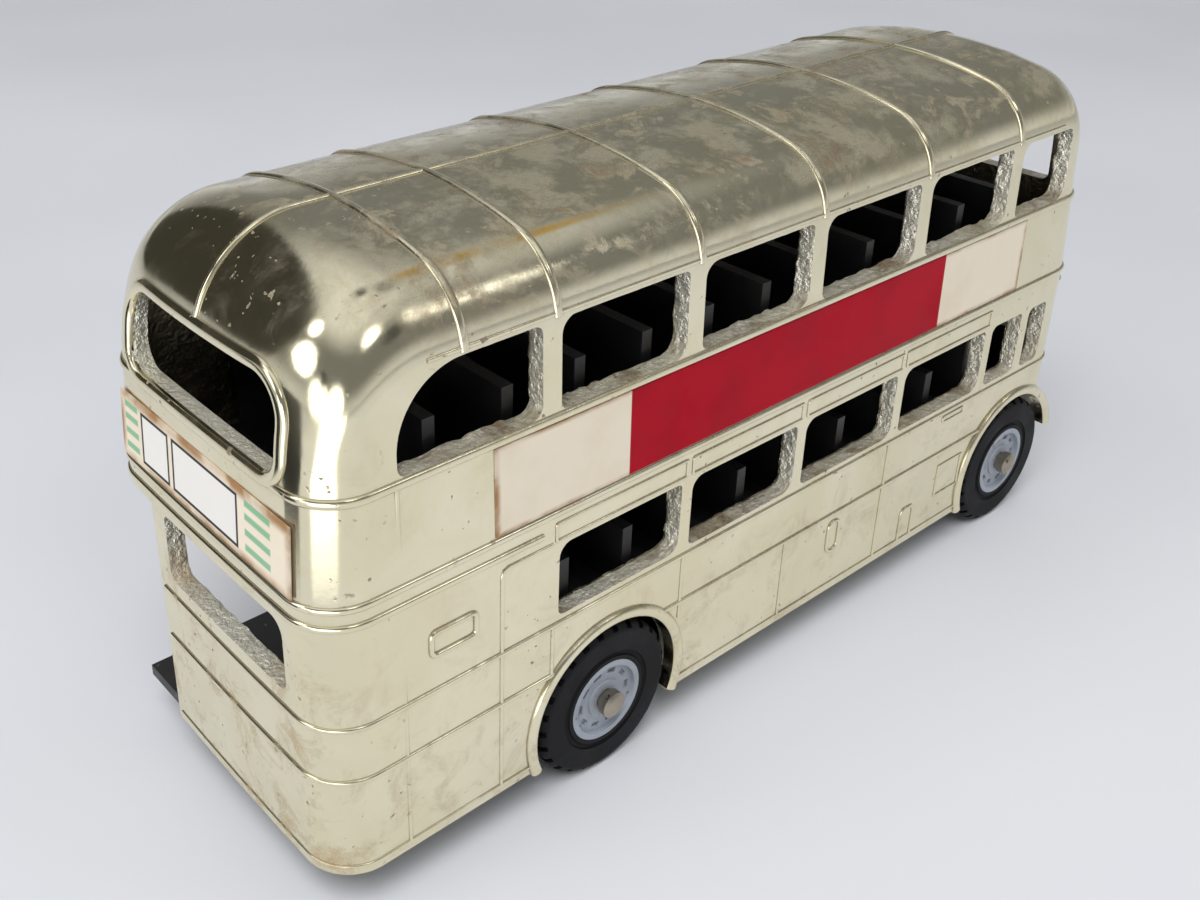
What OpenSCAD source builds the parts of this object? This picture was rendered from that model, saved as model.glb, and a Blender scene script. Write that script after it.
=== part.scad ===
// Die-cast toy double-deck bus with a half cab and an open rear platform.
// +X points to the front of the bus, +Y to its nearside, +Z up.
// The origin is on the ground, under the middle of the bus.

/* [Body casting] */
// Overall length, rear mouldings to radiator
body_len = 110.4; // [104:0.2:116]
// Width across the side panels
body_w = 35; // [33:0.1:38]
// Height of the roof above the ground, without its ribs
roof_z = 57.7; // [56:0.1:62]
// Height of the skirt's lower edge above the ground
skirt_z = 4.8; // [4.2:0.1:5.2]
// Wall thickness
wall = 1.7; // [1.3:0.1:1.9]
// Plan radius of the rear corners
corner_r = 4.6; // [3:0.1:6]
// Plan radius of the front corners
front_r = 5; // [3.5:0.1:6]
// Radius of the rear dome, seen from the side
dome_r = 10.2; // [8:0.1:12]
// Radius of the roof's front edge, seen from the side
brow_r = 7; // [5:0.1:9]
// Radius of the roof's shoulders, seen from the end
shoulder_r = 4.5; // [3.5:0.1:6]
// Radius of the roof's camber, seen from the end
camber_r = 52; // [45:1:80]
// How far the sides lean in by the rail over the upper windows
tumblehome = 0.5; // [0:0.05:1]
// How far the upper rear panel leans forward
rear_lean = 1; // [0:0.1:1.5]
// Backward rake of the upper deck's front, degrees
rake = 5; // [3:0.5:9]
// How far the radiator and wings stand ahead of the cab front
nose_l = 2.2; // [1.5:0.1:4]
// Plan radius of the nose's corners
nose_r = 9.5; // [7:0.1:11]
// Lower edge of the nose and mudguards
nose_z0 = 10; // [9.5:0.1:12]
// Upper edge of the nose and bonnet
nose_z1 = 19.3; // [18:0.1:20]

/* [Decks and windows] */
// Height of the line between the decks
deck_z = 31.1; // [30.8:0.1:32]
// Lower edge of the lower windows
low_sill_z = 21.4; // [20.8:0.1:22]
// Height of the lower windows
low_win_h = 7.5; // [6.5:0.1:7.8]
// Lower edge of the upper windows
up_sill_z = 41.9; // [41:0.1:43]
// Height of the upper windows
up_win_h = 8.2; // [6.5:0.1:8.4]
// Corner radius of the side windows
win_r = 1; // [0.5:0.1:1.5]
// Length of the rearmost upper window
first_win_l = 14.3; // [12:0.1:16]
// Length of the foremost upper window
last_win_l = 9.9; // [8:0.1:12]
// Length of the rearmost lower window
low_first_l = 15.1; // [13:0.1:16]
// From the cab front back to the pillar behind the cab
cab_l = 17.8; // [16:0.1:19]
// Width of the upper pillars
up_pillar_w = 2; // [1.6:0.1:2.4]
// Width of the lower pillars
low_pillar_w = 1.4; // [1.2:0.1:2]
// From the rear forward to the rearmost upper window
first_win_in = 7.9; // [7:0.1:9]
// Radius of that window's rear top corner
first_win_r = 5.8; // [4:0.1:6.5]
// From the cab front back to the foremost upper window
last_win_in = 6.8; // [6:0.1:8]
// From the cab front back to the cab door's window
cab_win_in = 11; // [10.4:0.1:12]
// From the cab front back to the cab's quarter window
quarter_in = 5.8; // [5.4:0.1:6.4]
// Length of the cab's quarter window
quarter_l = 3.7; // [3:0.1:4]
// Half width of the rear upper window
rear_win_hw = 11.8; // [10:0.1:12.2]
// Corner radius of the rear windows
rear_win_r = 3; // [1.5:0.1:3.8]
// Width of the pillar in the middle of the upper front window
front_pillar_w = 1.6; // [1.2:0.1:3]

/* [Platform and half cab] */
// Nearside end of the lower rear panel
rear_panel_y = 9.8; // [8:0.1:11]
// Width of the pillar at that end
rear_pillar_w = 2.3; // [1.8:0.1:3]
// Lower edge of the lower rear window
rear_low_z = 22.4; // [21.5:0.1:23.5]
// Length of the platform entrance
entrance_l = 17.2; // [15.5:0.1:18]
// Inner wall of the cab
cab_y = 1.5; // [0.5:0.1:3]

/* [Raised trim] */
// Height of the roof ribs
rib_h = 0.3; // [0.15:0.05:0.5]
// Width of the roof ribs
rib_w = 0.8; // [0.5:0.1:1.2]
// From the rear forward to the rearmost roof rib
rear_rib_in = 13.9; // [12:0.1:15]
// Height of the mouldings along the body
mould_h = 0.3; // [0.15:0.05:0.4]
// Width of the mouldings
mould_w = 0.8; // [0.5:0.1:1]
// Height of the fine panel lines
line_h = 0.2; // [0.1:0.05:0.3]
// Width of the fine panel lines
line_w = 0.45; // [0.3:0.05:0.6]
// Upper panel line of the lower deck
waist_z = 20.6; // [20:0.1:20.8]
// Lower panel line of the lower deck
panel_z = 15.1; // [14:0.1:16]
// Height of the beads round the wheel arches
arch_bead_h = 0.45; // [0.2:0.05:0.5]
// Width of the beads round the wheel arches
arch_bead_w = 1.2; // [0.8:0.1:1.4]

/* [Running gear] */
// Outer radius of the tyres
tyre_r = 8.1; // [7.6:0.1:8.4]
// Width of the tyres
tyre_w = 4.6; // [3.8:0.1:5]
// Radius of the wheel discs
hub_r = 4.3; // [3.8:0.1:5]
// From the rear forward to the rear axle
rear_axle_in = 30.9; // [30:0.1:32]
// From the radiator back to the front axle
front_axle_in = 11.8; // [11.4:0.1:12.4]
// Radius of the axles
axle_r = 1; // [0.8:0.05:1.2]
// Radius of the axles' heads
axle_head_r = 1.35; // [1.3:0.05:1.6]
// Length of the axles' heads
axle_head_l = 1.3; // [1:0.1:1.6]
// Radial clearance of a wheel on its axle
wheel_fit = 0.05; // [0.02:0.01:0.1]
// Radial clearance of an axle in its bearings
bearing_fit = 0.06; // [0.02:0.01:0.1]
// Side play at each end of a wheel
side_play = 0.2; // [0.15:0.05:0.4]
// Gap between tyre and wheel arch
arch_gap = 0.8; // [0.5:0.1:1]
// Number of notches round each tyre shoulder
tread_n = 26; // [16:1:32]

/* [Inside] */
// Thickness of the base plate
base_t = 1.2; // [0.8:0.1:1.5]
// Thickness of the seat units
seat_t = 1.2; // [0.9:0.1:1.5]
// Gap between the inserts and the casting
insert_gap = 0.2; // [0.1:0.05:0.4]
// Spacing of the seat rows
seat_pitch = 7.9; // [7.2:0.1:8.4]
// Half width of the gangway
gangway_hw = 3.6; // [3:0.1:4.5]
// Top of the upper seat backs
up_seat_z = 44.4; // [42:0.1:46]
// Top of the lower seat backs
low_seat_z = 25; // [23:0.1:26]
// Radius of the rivets' shanks
rivet_r = 1.1; // [0.9:0.1:1.3]
// Thickness of the paper labels
label_t = 0.12; // [0.08:0.01:0.2]

/* [Hidden] */
$fn = 96;

// Spare length of a cutting tool past the face it cuts
past = 4;
rear_x = -body_len / 2 + mould_h;
nose_x = body_len / 2;
// Radiator shell and headlamps stand this far ahead of the nose
grille_h = 0.6;
front_x = nose_x - nose_l - grille_h;
half_w = body_w / 2;
rail_hw = half_w - tumblehome;
// Shoulder arcs run smoothly into the camber and the sides
shoulder_y = rail_hw - shoulder_r;
rail_z = roof_z - camber_r + sqrt(pow(camber_r - shoulder_r, 2) - pow(shoulder_y, 2));
camber_y = shoulder_y * camber_r / (camber_r - shoulder_r);
low_win_z1 = low_sill_z + low_win_h;
up_win_z1 = up_sill_z + up_win_h;
first_win_x = rear_x + first_win_in;
last_win_x = front_x - last_win_in;
up_first_x = first_win_x + first_win_l + up_pillar_w / 2;
up_bay = (last_win_x - last_win_l - up_pillar_w / 2 - up_first_x) / 4;
up_pillars = [for (i = [0:4]) up_first_x + i * up_bay];
low_first_x = up_pillars[0] + up_pillar_w / 2;
cab_pillar_x = front_x - cab_l + low_pillar_w / 2;
low_second_x = low_first_x + low_first_l + low_pillar_w / 2;
low_bay = (front_x - cab_l - low_second_x) / 3;
low_pillars = [for (i = [0:3]) low_second_x + i * low_bay];
cab_win_x = front_x - cab_win_in;
quarter_x1 = front_x - quarter_in;
quarter_x0 = quarter_x1 - quarter_l;
entrance_x = rear_x + entrance_l;
bulkhead_x = low_pillars[3] - low_pillar_w / 2 + 0.1;
rear_axle_x = rear_x + rear_axle_in;
front_axle_x = nose_x - front_axle_in;
rear_rib_x = rear_x + rear_rib_in;
// Underside of the floor between the decks
floor_z = low_win_z1 + 0.5;
// The decks' solids meet inside the upper of the two mouldings between the decks
join_z = deck_z + 1.2;
belt_zs = [join_z - 1.9, join_z];
sill_mould_z = up_sill_z - mould_w / 2;
label_z0 = join_z + mould_w / 2 + 0.1;
label_z1 = up_sill_z - mould_w - 0.1;
rear_label_h = 6.4;
rear_label_hw = 14;
label_x0 = entrance_x - 0.1;
label_x1 = front_x - 13.8;
front_label_hw = 9;
axle_z = tyre_r;
arch_r = tyre_r + arch_gap;
bead_r = arch_r + arch_bead_w;
wheel_face = half_w - 0.1;
wheel_back = wheel_face - tyre_w;
lug_t = 2;
lug_y = wheel_back - side_play - lug_t;
lug_r = axle_r + 1.5;
base_z1 = skirt_z + base_t;
base_hw = half_w - wall - insert_gap;
base_rear_x = rear_x + wall + insert_gap;
base_front_x = front_x - wall - insert_gap;
// Half length and inner edge of the notch in the base plate for a wheel
notch_hl = tyre_r + 0.6;
notch_y = lug_y + lug_t + 0.1;
platform_y0 = rear_panel_y + insert_gap;
platform_edge = half_w - 0.6;
platform_rear_x = rear_x + 0.7;
post_r = rivet_r + 1.1;
// Posts stand clear of the end walls by this much, and a web joins each to its wall
post_in = 2.6;
web_t = 1.6;
rear_post = [rear_x + wall + post_in, -4];
front_post = [front_x - wall - post_in, 6];
rivet_head_r = rivet_r + 0.8;
rivet_head_t = 0.6;
rivet_l = 6;
rivet_fit = 0.04;
// Saloon floor of the lower seat unit, over the axles
saloon_z = axle_z + axle_r + 0.6;
// Benches of the lower seat unit, over the tyres
bench_z = axle_z + tyre_r + 1;
low_seat_hw = half_w - wall - 0.5;
low_inner_hw = lug_y - 0.3;
up_seat_hw = rail_hw - wall - 0.5;
cushion_h = 5;
low_cushion_h = 1.6;
// Driver's panel, behind the cab front and clear of its round corner
dash_in = 2.6;
corner_gap = 0.7;

// Rectangle with its own radius at the low and the high end of x
module round_ends(x0, x1, h, r0, r1) {
    polygon([
        [x0 + r0, -h], [x1 - r1, -h], [x1, -h + r1], [x1, h - r1],
        [x1 - r1, h], [x0 + r0, h], [x0, h - r0], [x0, -h + r0]
    ]);
    for (s = [-1, 1]) {
        translate([x0 + r0, s * (h - r0)]) circle(r0);
        translate([x1 - r1, s * (h - r1)]) circle(r1);
    }
}

// Window outline; the corner at x0, y1 has a radius of its own
module window(x0, x1, y0, y1, r, r_own) {
    polygon([
        [x0 + r, y0], [x1 - r, y0], [x1, y0 + r], [x1, y1 - r],
        [x1 - r, y1], [x0 + r_own, y1], [x0, y1 - r_own], [x0, y0 + r]
    ]);
    translate([x0 + r, y0 + r]) circle(r);
    translate([x1 - r, y0 + r]) circle(r);
    translate([x1 - r, y1 - r]) circle(r);
    difference() {
        translate([x0 + r_own, y1 - r_own]) circle(r_own);
        translate([x0 - past, y0 + r - 3 * past]) square([x1 - x0, 3 * past]);
    }
}

// Drawing in X and Z, carried across the bus
module across(w) {
    rotate([90, 0, 0]) linear_extrude(w, center = true) children();
}

// Drawing in Y and Z, carried along the bus from x0 to x1
module along(x0, x1) {
    translate([x0, 0, 0]) rotate([90, 0, 90]) linear_extrude(x1 - x0) children();
}

// Cross-section of the casting, grown by e
module section(e) {
    h = half_w + e;
    hr = rail_hw + e;
    polygon([[-h, -past], [h, -past], [h, deck_z], [hr, rail_z], [-hr, rail_z], [-h, deck_z]]);
    for (s = [-1, 1]) translate([s * shoulder_y, rail_z]) circle(shoulder_r + e);
    y = camber_y * (camber_r + e) / camber_r;
    intersection() {
        translate([0, roof_z - camber_r]) circle(camber_r + e, $fn = 720);
        translate([-y, rail_z - past]) square([2 * y, roof_z]);
    }
}

// Side profile of the upper deck, grown by e
module profile(e) {
    foot_x = rear_x + rear_lean;
    dome = [foot_x + dome_r, roof_z - dome_r];
    brow_x = front_x - (brow_r + (roof_z - brow_r - deck_z) * sin(rake)) / cos(rake);
    brow = [brow_x, roof_z - brow_r];
    brow_end = brow + (brow_r + e) * [cos(rake), sin(rake)];
    polygon([
        [rear_x - e, -past], [rear_x - e, deck_z], [foot_x - e, dome[1]], [dome[0], roof_z + e],
        [brow[0], roof_z + e], brow_end, [front_x + e, deck_z + e * tan(rake / 2)], [front_x + e, -past]
    ]);
    translate(dome) circle(dome_r + e);
    translate(brow) circle(brow_r + e);
}

// Lower deck, grown by e and cut off at the height top
module lower_solid(e, top = join_z) {
    z0 = e < 0 ? -past : skirt_z;
    translate([0, 0, z0]) linear_extrude(top - z0)
        round_ends(rear_x - e, front_x + e, half_w + e, corner_r + e, front_r + e);
}

// Upper deck, grown by e
module upper_solid(e) {
    intersection() {
        translate([0, 0, join_z - 0.2]) linear_extrude(roof_z)
            round_ends(rear_x - e, nose_x, half_w + e, corner_r + e, front_r);
        across(2 * body_w) profile(e);
        along(-body_len, body_len) section(e);
        translate([front_x, 0, deck_z]) rotate([0, -rake, 0]) translate([0, 0, -roof_z])
            linear_extrude(3 * roof_z)
                round_ends(-2 * body_len, e, half_w + e, corner_r, front_r + e);
    }
}

// Wings and radiator block, grown by e
module nose_solid(e) {
    translate([0, 0, nose_z0 - (e < 0 ? past : 0)])
        linear_extrude(nose_z1 - nose_z0 + e + (e < 0 ? past : 0))
            round_ends(0, nose_x - grille_h + e, half_w + e, nose_r + e, nose_r + e);
}

module casting_solid(e) {
    lower_solid(e);
    upper_solid(e);
    nose_solid(e);
}

// Slab of the whole plan, from one height to another
module slab(z0, z1) {
    translate([-body_len, -body_w, z0]) cube([2 * body_len, 2 * body_w, z1 - z0]);
}

// Upright strip on both sides, at x
module upright(x, z0, z1) {
    translate([x - line_w / 2, -body_w, z0]) cube([line_w, 2 * body_w, z1 - z0]);
}

module mouldings() {
    intersection() {
        lower_solid(mould_h, join_z + mould_w / 2);
        for (z = belt_zs) slab(z - mould_w / 2, z + mould_w / 2);
    }
    intersection() {
        upper_solid(mould_h);
        slab(sill_mould_z - mould_w / 2, sill_mould_z + mould_w / 2);
    }
}

module panel_lines() {
    intersection() {
        lower_solid(line_h);
        union() {
            for (z = [waist_z, panel_z, skirt_z + 1]) slab(z - line_w / 2, z + line_w / 2);
            upright(first_win_x - line_w / 2, skirt_z + 1, deck_z);
            upright(entrance_x + 2 * line_w, skirt_z + 1, low_win_z1);
            for (x = [up_pillars[0], low_pillars[0]]) upright(x, panel_z, waist_z);
            upright(low_pillars[1] - low_pillar_w / 2, skirt_z + 1, panel_z);
            upright(low_pillars[2] - low_pillar_w / 2, skirt_z + 1, waist_z);
        }
    }
}

module roof_ribs() {
    seam_w = 0.5;
    intersection() {
        upper_solid(rib_h);
        translate([0, 0, up_win_z1 + 0.3]) union() {
            for (x = concat([rear_rib_x], up_pillars))
                translate([x - rib_w / 2, -body_w, 0]) cube([rib_w, 2 * body_w, roof_z]);
        }
    }
    intersection() {
        upper_solid(rib_h / 2);
        translate([rear_x - past, -seam_w / 2, up_win_z1 + 1]) cube([body_len, seam_w, roof_z]);
    }
}

// Mudguards over the front wheels
module mudguards() {
    for (s = [-1, 1]) difference() {
        translate([front_axle_x, s * (notch_y + half_w) / 2, axle_z]) rotate([90, 0, 0])
            cylinder(r = bead_r, h = half_w - notch_y, center = true);
        slab(-past, nose_z0);
    }
}

module arch_beads() {
    intersection() {
        lower_solid(arch_bead_h);
        for (x = [rear_axle_x, front_axle_x])
            translate([x, 0, axle_z]) rotate([90, 0, 0]) cylinder(r = bead_r, h = 2 * body_w, center = true);
    }
}

// Raised outline of a window shape
module outline(x0, x1, z0, z1, r) {
    difference() {
        window(x0, x1, z0, z1, r, r);
        window(x0 + line_w, x1 - line_w, z0 + line_w, z1 - line_w, r / 2, r / 2);
    }
}

// Small raised details of the offside: staircase frame, filler flap, step and air vents
module offside_trim() {
    vent_h = 0.9;
    vent_in = 2;
    frame_x = rear_x + 10.3;
    frame_z = waist_z + 3.5;
    flap_x = low_pillars[1] + low_bay * 0.41;
    flap_z = panel_z - 4.9;
    step_x = low_pillars[2] + low_bay * 0.24;
    intersection() {
        lower_solid(line_h);
        translate([0, -body_w / 2, 0]) across(body_w / 2) {
            outline(frame_x, frame_x + 4.7, frame_z, frame_z + 2.4, 0.6);
            outline(flap_x, flap_x + 1.8, flap_z, flap_z + 3.8, 0.8);
            outline(step_x, step_x + 2.7, skirt_z, skirt_z + 5, 0.8);
            for (i = [0:2])
                translate([low_pillars[i] + vent_in, low_win_z1 + 0.4])
                    square([low_bay - 2 * vent_in, vent_h]);
        }
    }
}

// Raised frame round the rear upper window
module rear_frame() {
    frame_w = 0.9;
    intersection() {
        upper_solid(mould_h);
        along(rear_x - past, rear_x + dome_r / 2)
            window(-rear_win_hw - frame_w, rear_win_hw + frame_w,
                up_sill_z - mould_w, up_win_z1 - 0.4 + frame_w,
                rear_win_r + frame_w, rear_win_r + frame_w);
    }
}

module side_windows() {
    across(2 * body_w) {
        window(first_win_x, up_pillars[0] - up_pillar_w / 2, up_sill_z, up_win_z1, win_r, first_win_r);
        for (i = [0:3])
            window(up_pillars[i] + up_pillar_w / 2, up_pillars[i + 1] - up_pillar_w / 2,
                up_sill_z, up_win_z1, win_r, win_r);
        window(up_pillars[4] + up_pillar_w / 2, last_win_x, up_sill_z, up_win_z1, win_r, win_r);
        window(low_first_x, low_pillars[0] - low_pillar_w / 2, low_sill_z, low_win_z1, win_r, win_r);
        for (i = [0:2])
            window(low_pillars[i] + low_pillar_w / 2, low_pillars[i + 1] - low_pillar_w / 2,
                low_sill_z, low_win_z1, win_r, win_r);
    }
    translate([0, -body_w / 2, 0]) across(body_w / 2) {
        window(cab_pillar_x, cab_win_x, low_sill_z, low_win_z1, win_r, win_r);
        window(quarter_x0, quarter_x1, low_sill_z, low_win_z1, win_r, win_r);
    }
}

module end_windows() {
    screen_y = half_w - front_r + 0.6;
    along(rear_x - past, rear_x + dome_r)
        window(-rear_win_hw, rear_win_hw, up_sill_z, up_win_z1 - 0.4, rear_win_r, rear_win_r);
    along(rear_x - past, rear_x + dome_r)
        window(-half_w + corner_r + 1, rear_panel_y - rear_pillar_w, rear_low_z, floor_z, win_r, win_r);
    along(brow_cut_x(), nose_x + past) {
        for (s = [-1, 1])
            window(min(s * front_pillar_w / 2, s * screen_y), max(s * front_pillar_w / 2, s * screen_y),
                up_sill_z, up_win_z1 - 0.6, win_r, win_r);
        window(-screen_y, cab_y - wall - 0.5, low_sill_z, low_win_z1, win_r, win_r);
    }
}

// The front window tools start behind the front wall and ahead of the last side windows
function brow_cut_x() = quarter_x1 - 1;

module entrance() {
    translate([rear_x - past, rear_panel_y, -past])
        cube([entrance_x - rear_x + past, body_w, floor_z + past]);
}

// Space beside the cab, over the bonnet
module half_cab() {
    translate([cab_pillar_x, cab_y, nose_z1])
        cube([body_len, body_w, floor_z - nose_z1]);
}

module wheel_arches() {
    for (x = [rear_axle_x, front_axle_x], s = [-1, 1])
        translate([x, s * (notch_y + body_w / 2), axle_z]) rotate([90, 0, 0])
            cylinder(r = arch_r, h = body_w, center = true);
}

// Cab's inner wall and the bonnet's top
module cab_and_bonnet() {
    bonnet_t = 1.2;
    translate([cab_pillar_x, cab_y - wall, saloon_z + seat_t + insert_gap])
        cube([front_x - cab_pillar_x - wall / 2, wall, floor_z - saloon_z - seat_t - 2 * insert_gap]);
    translate([cab_pillar_x, cab_y - wall, nose_z1 - bonnet_t])
        cube([front_x - cab_pillar_x, half_w - cab_y + wall / 2, bonnet_t]);
}

// Posts that take the rivets
module rivet_posts() {
    for (p = [rear_post, front_post]) {
        translate([p[0], p[1], base_z1]) difference() {
            union() {
                cylinder(r = post_r, h = rivet_l + 2);
                translate([p[0] < 0 ? -post_in - wall / 2 : 0, -web_t / 2, 0])
                    cube([post_in + wall / 2, web_t, rivet_l + 2]);
            }
            translate([0, 0, -past]) cylinder(r = rivet_r + rivet_fit, h = rivet_l - base_t + past);
        }
    }
}

// Radiator shell with its slots, and the two headlamps
module nose_trim() {
    grille_y0 = -3.4;
    grille_w = 7.4;
    slot_w = 0.5;
    slots = 7;
    slot_bay = (grille_w - slot_w) / (slots + 1);
    slot_end = 1.4;
    lamp_r = 1.7;
    base_x = nose_x - grille_h - wall / 2;
    difference() {
        along(base_x, nose_x)
            window(grille_y0, grille_y0 + grille_w, nose_z0 + 0.4, nose_z1 - 0.4, 1, 1);
        for (i = [0:slots - 1])
            translate([nose_x - grille_h / 2, grille_y0 + (i + 1) * slot_bay, nose_z0 + slot_end])
                cube([grille_h, slot_w, nose_z1 - nose_z0 - 2 * slot_end]);
    }
    for (s = [-1, 1])
        translate([base_x, s * (half_w - nose_r - lamp_r), (nose_z0 + nose_z1) / 2]) rotate([0, 90, 0])
            cylinder(r = lamp_r, h = nose_x - base_x - 0.1);
}

module body_shell() {
    color("#cfc9ae") {
        difference() {
            union() {
                casting_solid(0);
                mouldings();
                panel_lines();
                roof_ribs();
                arch_beads();
                mudguards();
                rear_frame();
                offside_trim();
            }
            casting_solid(-wall);
            side_windows();
            end_windows();
            entrance();
            half_cab();
            wheel_arches();
        }
        difference() {
            cab_and_bonnet();
            wheel_arches();
        }
        nose_trim();
        rivet_posts();
    }
}

// Ear that carries one end of an axle
module bearing_lug(x, s) {
    translate([x, s * (lug_y + lug_t / 2), 0]) {
        translate([0, 0, axle_z]) rotate([90, 0, 0]) cylinder(r = lug_r, h = lug_t, center = true);
        translate([-lug_r, -lug_t / 2, skirt_z]) cube([2 * lug_r, lug_t, axle_z - skirt_z]);
    }
}

module base_plate() {
    corner = corner_r - wall;
    color("#141416") difference() {
        union() {
            translate([0, 0, skirt_z]) linear_extrude(base_t) difference() {
                union() {
                    round_ends(base_rear_x, base_front_x, base_hw, corner, front_r - wall);
                    translate([platform_rear_x, platform_y0])
                        square([entrance_x - insert_gap - platform_rear_x, platform_edge - platform_y0]);
                }
                for (x = [rear_axle_x, front_axle_x], s = [-1, 1])
                    translate([x - notch_hl, s > 0 ? notch_y : -notch_y - body_w])
                        square([2 * notch_hl, body_w]);
            }
            for (x = [rear_axle_x, front_axle_x], s = [-1, 1]) bearing_lug(x, s);
        }
        for (x = [rear_axle_x, front_axle_x])
            translate([x, 0, axle_z]) rotate([90, 0, 0])
                cylinder(r = axle_r + bearing_fit, h = body_w, center = true);
        for (p = [rear_post, front_post]) translate([p[0], p[1], skirt_z]) {
            translate([0, 0, -past]) cylinder(r = rivet_r + rivet_fit, h = base_t + 2 * past);
            translate([0, 0, -past]) cylinder(r = rivet_head_r + rivet_fit, h = rivet_head_t + past);
        }
    }
}

module base_rivets() {
    color("#8d8b84") for (p = [rear_post, front_post]) translate([p[0], p[1], skirt_z]) {
        cylinder(r = rivet_r, h = rivet_l - rivet_fit);
        cylinder(r = rivet_head_r, h = rivet_head_t);
    }
}

// One double seat on the side s: cushion and back
module seat(x, s, y1, z0, cushion_z, back_z) {
    cushion_l = 4.2;
    y0 = s > 0 ? gangway_hw : -y1;
    translate([x, y0, z0]) cube([seat_t, y1 - gangway_hw, back_z - z0]);
    translate([x, y0, z0]) cube([cushion_l, y1 - gangway_hw, cushion_z - z0]);
}

module upper_deck_seats() {
    first_x = rear_x + 12;
    last_x = front_x - 10;
    rows = [for (x = [first_x:seat_pitch:last_x]) x];
    cushion_z = floor_z + seat_t + cushion_h;
    color("#17171a") {
        translate([0, 0, floor_z]) linear_extrude(seat_t)
            round_ends(rear_x + wall + insert_gap, front_x - wall - insert_gap, half_w - wall - insert_gap,
                corner_r - wall + 0.4, front_r - wall + 0.4);
        for (x = rows, s = [-1, 1]) seat(x, s, up_seat_hw, floor_z + seat_t / 2, cushion_z, up_seat_z);
    }
}

module lower_deck_seats() {
    rear_end = entrance_x + 1;
    first_x = rear_end + 8;
    last_x = bulkhead_x - 5;
    rows = [for (x = [first_x:seat_pitch:last_x]) x];
    dash_x = front_x - wall - dash_in;
    dash_z = low_sill_z + 1.8;
    cab_floor_w = low_inner_hw + cab_y - wall - insert_gap;
    cushion_z = bench_z + seat_t + low_cushion_h;
    color("#17171a") {
        // Saloon floor, on two webs that stand on the base plate between the axles
        translate([rear_end, -low_inner_hw, saloon_z])
            cube([bulkhead_x + seat_t - rear_end, 2 * low_inner_hw, seat_t]);
        translate([bulkhead_x, -low_inner_hw, saloon_z])
            cube([dash_x + seat_t - bulkhead_x, cab_floor_w, seat_t]);
        for (s = [-1, 1])
            translate([rear_axle_x + 5, s * gangway_hw - seat_t / 2, base_z1])
                cube([front_axle_x - rear_axle_x - 10, seat_t, saloon_z - base_z1 + seat_t / 2]);
        // Benches over the wheels, with their risers
        for (s = [-1, 1]) {
            translate([rear_end, s > 0 ? gangway_hw : -low_seat_hw, bench_z])
                cube([bulkhead_x - rear_end + seat_t, low_seat_hw - gangway_hw, seat_t]);
            translate([rear_end, s > 0 ? gangway_hw : -gangway_hw - seat_t, saloon_z])
                cube([bulkhead_x - rear_end + seat_t, seat_t, bench_z - saloon_z + seat_t / 2]);
        }
        for (x = rows, s = [-1, 1]) seat(x, s, low_seat_hw, bench_z + seat_t / 2, cushion_z, low_seat_z);
        // Bulkheads that carry the floor between the decks
        translate([bulkhead_x, -low_seat_hw, bench_z]) cube([seat_t, 2 * low_seat_hw, floor_z - bench_z]);
        translate([bulkhead_x, -low_inner_hw, saloon_z])
            cube([seat_t, 2 * low_inner_hw, bench_z - saloon_z + seat_t / 2]);
        for (s = [-1, 1]) {
            translate([rear_end, s > 0 ? gangway_hw : -low_seat_hw, bench_z])
                cube([seat_t, low_seat_hw - gangway_hw, floor_z - bench_z]);
            translate([rear_end, s > 0 ? gangway_hw : -low_inner_hw, saloon_z])
                cube([seat_t, low_inner_hw - gangway_hw, bench_z - saloon_z + seat_t / 2]);
        }
        // Panel in front of the driver
        translate([dash_x, -low_inner_hw, saloon_z]) cube([seat_t, cab_floor_w, dash_z - saloon_z]);
        translate([dash_x, -low_seat_hw + corner_gap, bench_z])
            cube([seat_t, low_seat_hw - corner_gap - gangway_hw, dash_z - bench_z]);
    }
}

// Axle with a domed head at each end
module axle(x) {
    head_y = wheel_face + side_play;
    shaft_y = head_y + axle_head_l / 2;
    dome = axle_head_r * 0.6;
    color("#8a7f6e") translate([x, 0, axle_z]) rotate([90, 0, 0]) {
        cylinder(r = axle_r, h = 2 * shaft_y, center = true);
        for (s = [0, 1]) mirror([0, 0, s]) translate([0, 0, head_y]) rotate_extrude() intersection() {
            translate([0, axle_head_l - dome - axle_head_r]) circle(axle_head_r + dome);
            square([axle_head_r, axle_head_l]);
        }
    }
}

module front_axle() {
    axle(front_axle_x);
}

module rear_axle() {
    axle(rear_axle_x);
}

// Places a wheel piece that is drawn along +Z, outer face at the top
module on_axle(x, s) {
    translate([x, s * wheel_back, axle_z]) rotate([-90 * s, 0, 0]) children();
}

// Wheel disc with a raised rim, a ring of slots and a boss
module hub(x, s) {
    rim_w = 0.6;
    dish = 0.45;
    boss_r = axle_r + 1;
    flange_r = hub_r + 0.9;
    flange_t = 0.8;
    slots = 10;
    slot_l = 1;
    slot_w = 0.5;
    slot_r = hub_r - rim_w - 0.75;
    color("#8b93a0") on_axle(x, s) difference() {
        rotate_extrude() polygon([
            [0, 0], [flange_r, 0], [flange_r, flange_t], [hub_r, flange_t], [hub_r, tyre_w],
            [hub_r - rim_w, tyre_w], [hub_r - rim_w, tyre_w - dish], [boss_r, tyre_w - dish],
            [boss_r, tyre_w - dish / 2], [0, tyre_w - dish / 2]
        ]);
        translate([0, 0, -past]) cylinder(r = axle_r + wheel_fit, h = tyre_w + 2 * past);
        for (i = [0:slots - 1])
            rotate(i * 360 / slots) translate([slot_r - slot_w / 2, -slot_l / 2, tyre_w - dish - 0.3])
                cube([slot_w, slot_l, 1]);
    }
}

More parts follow.
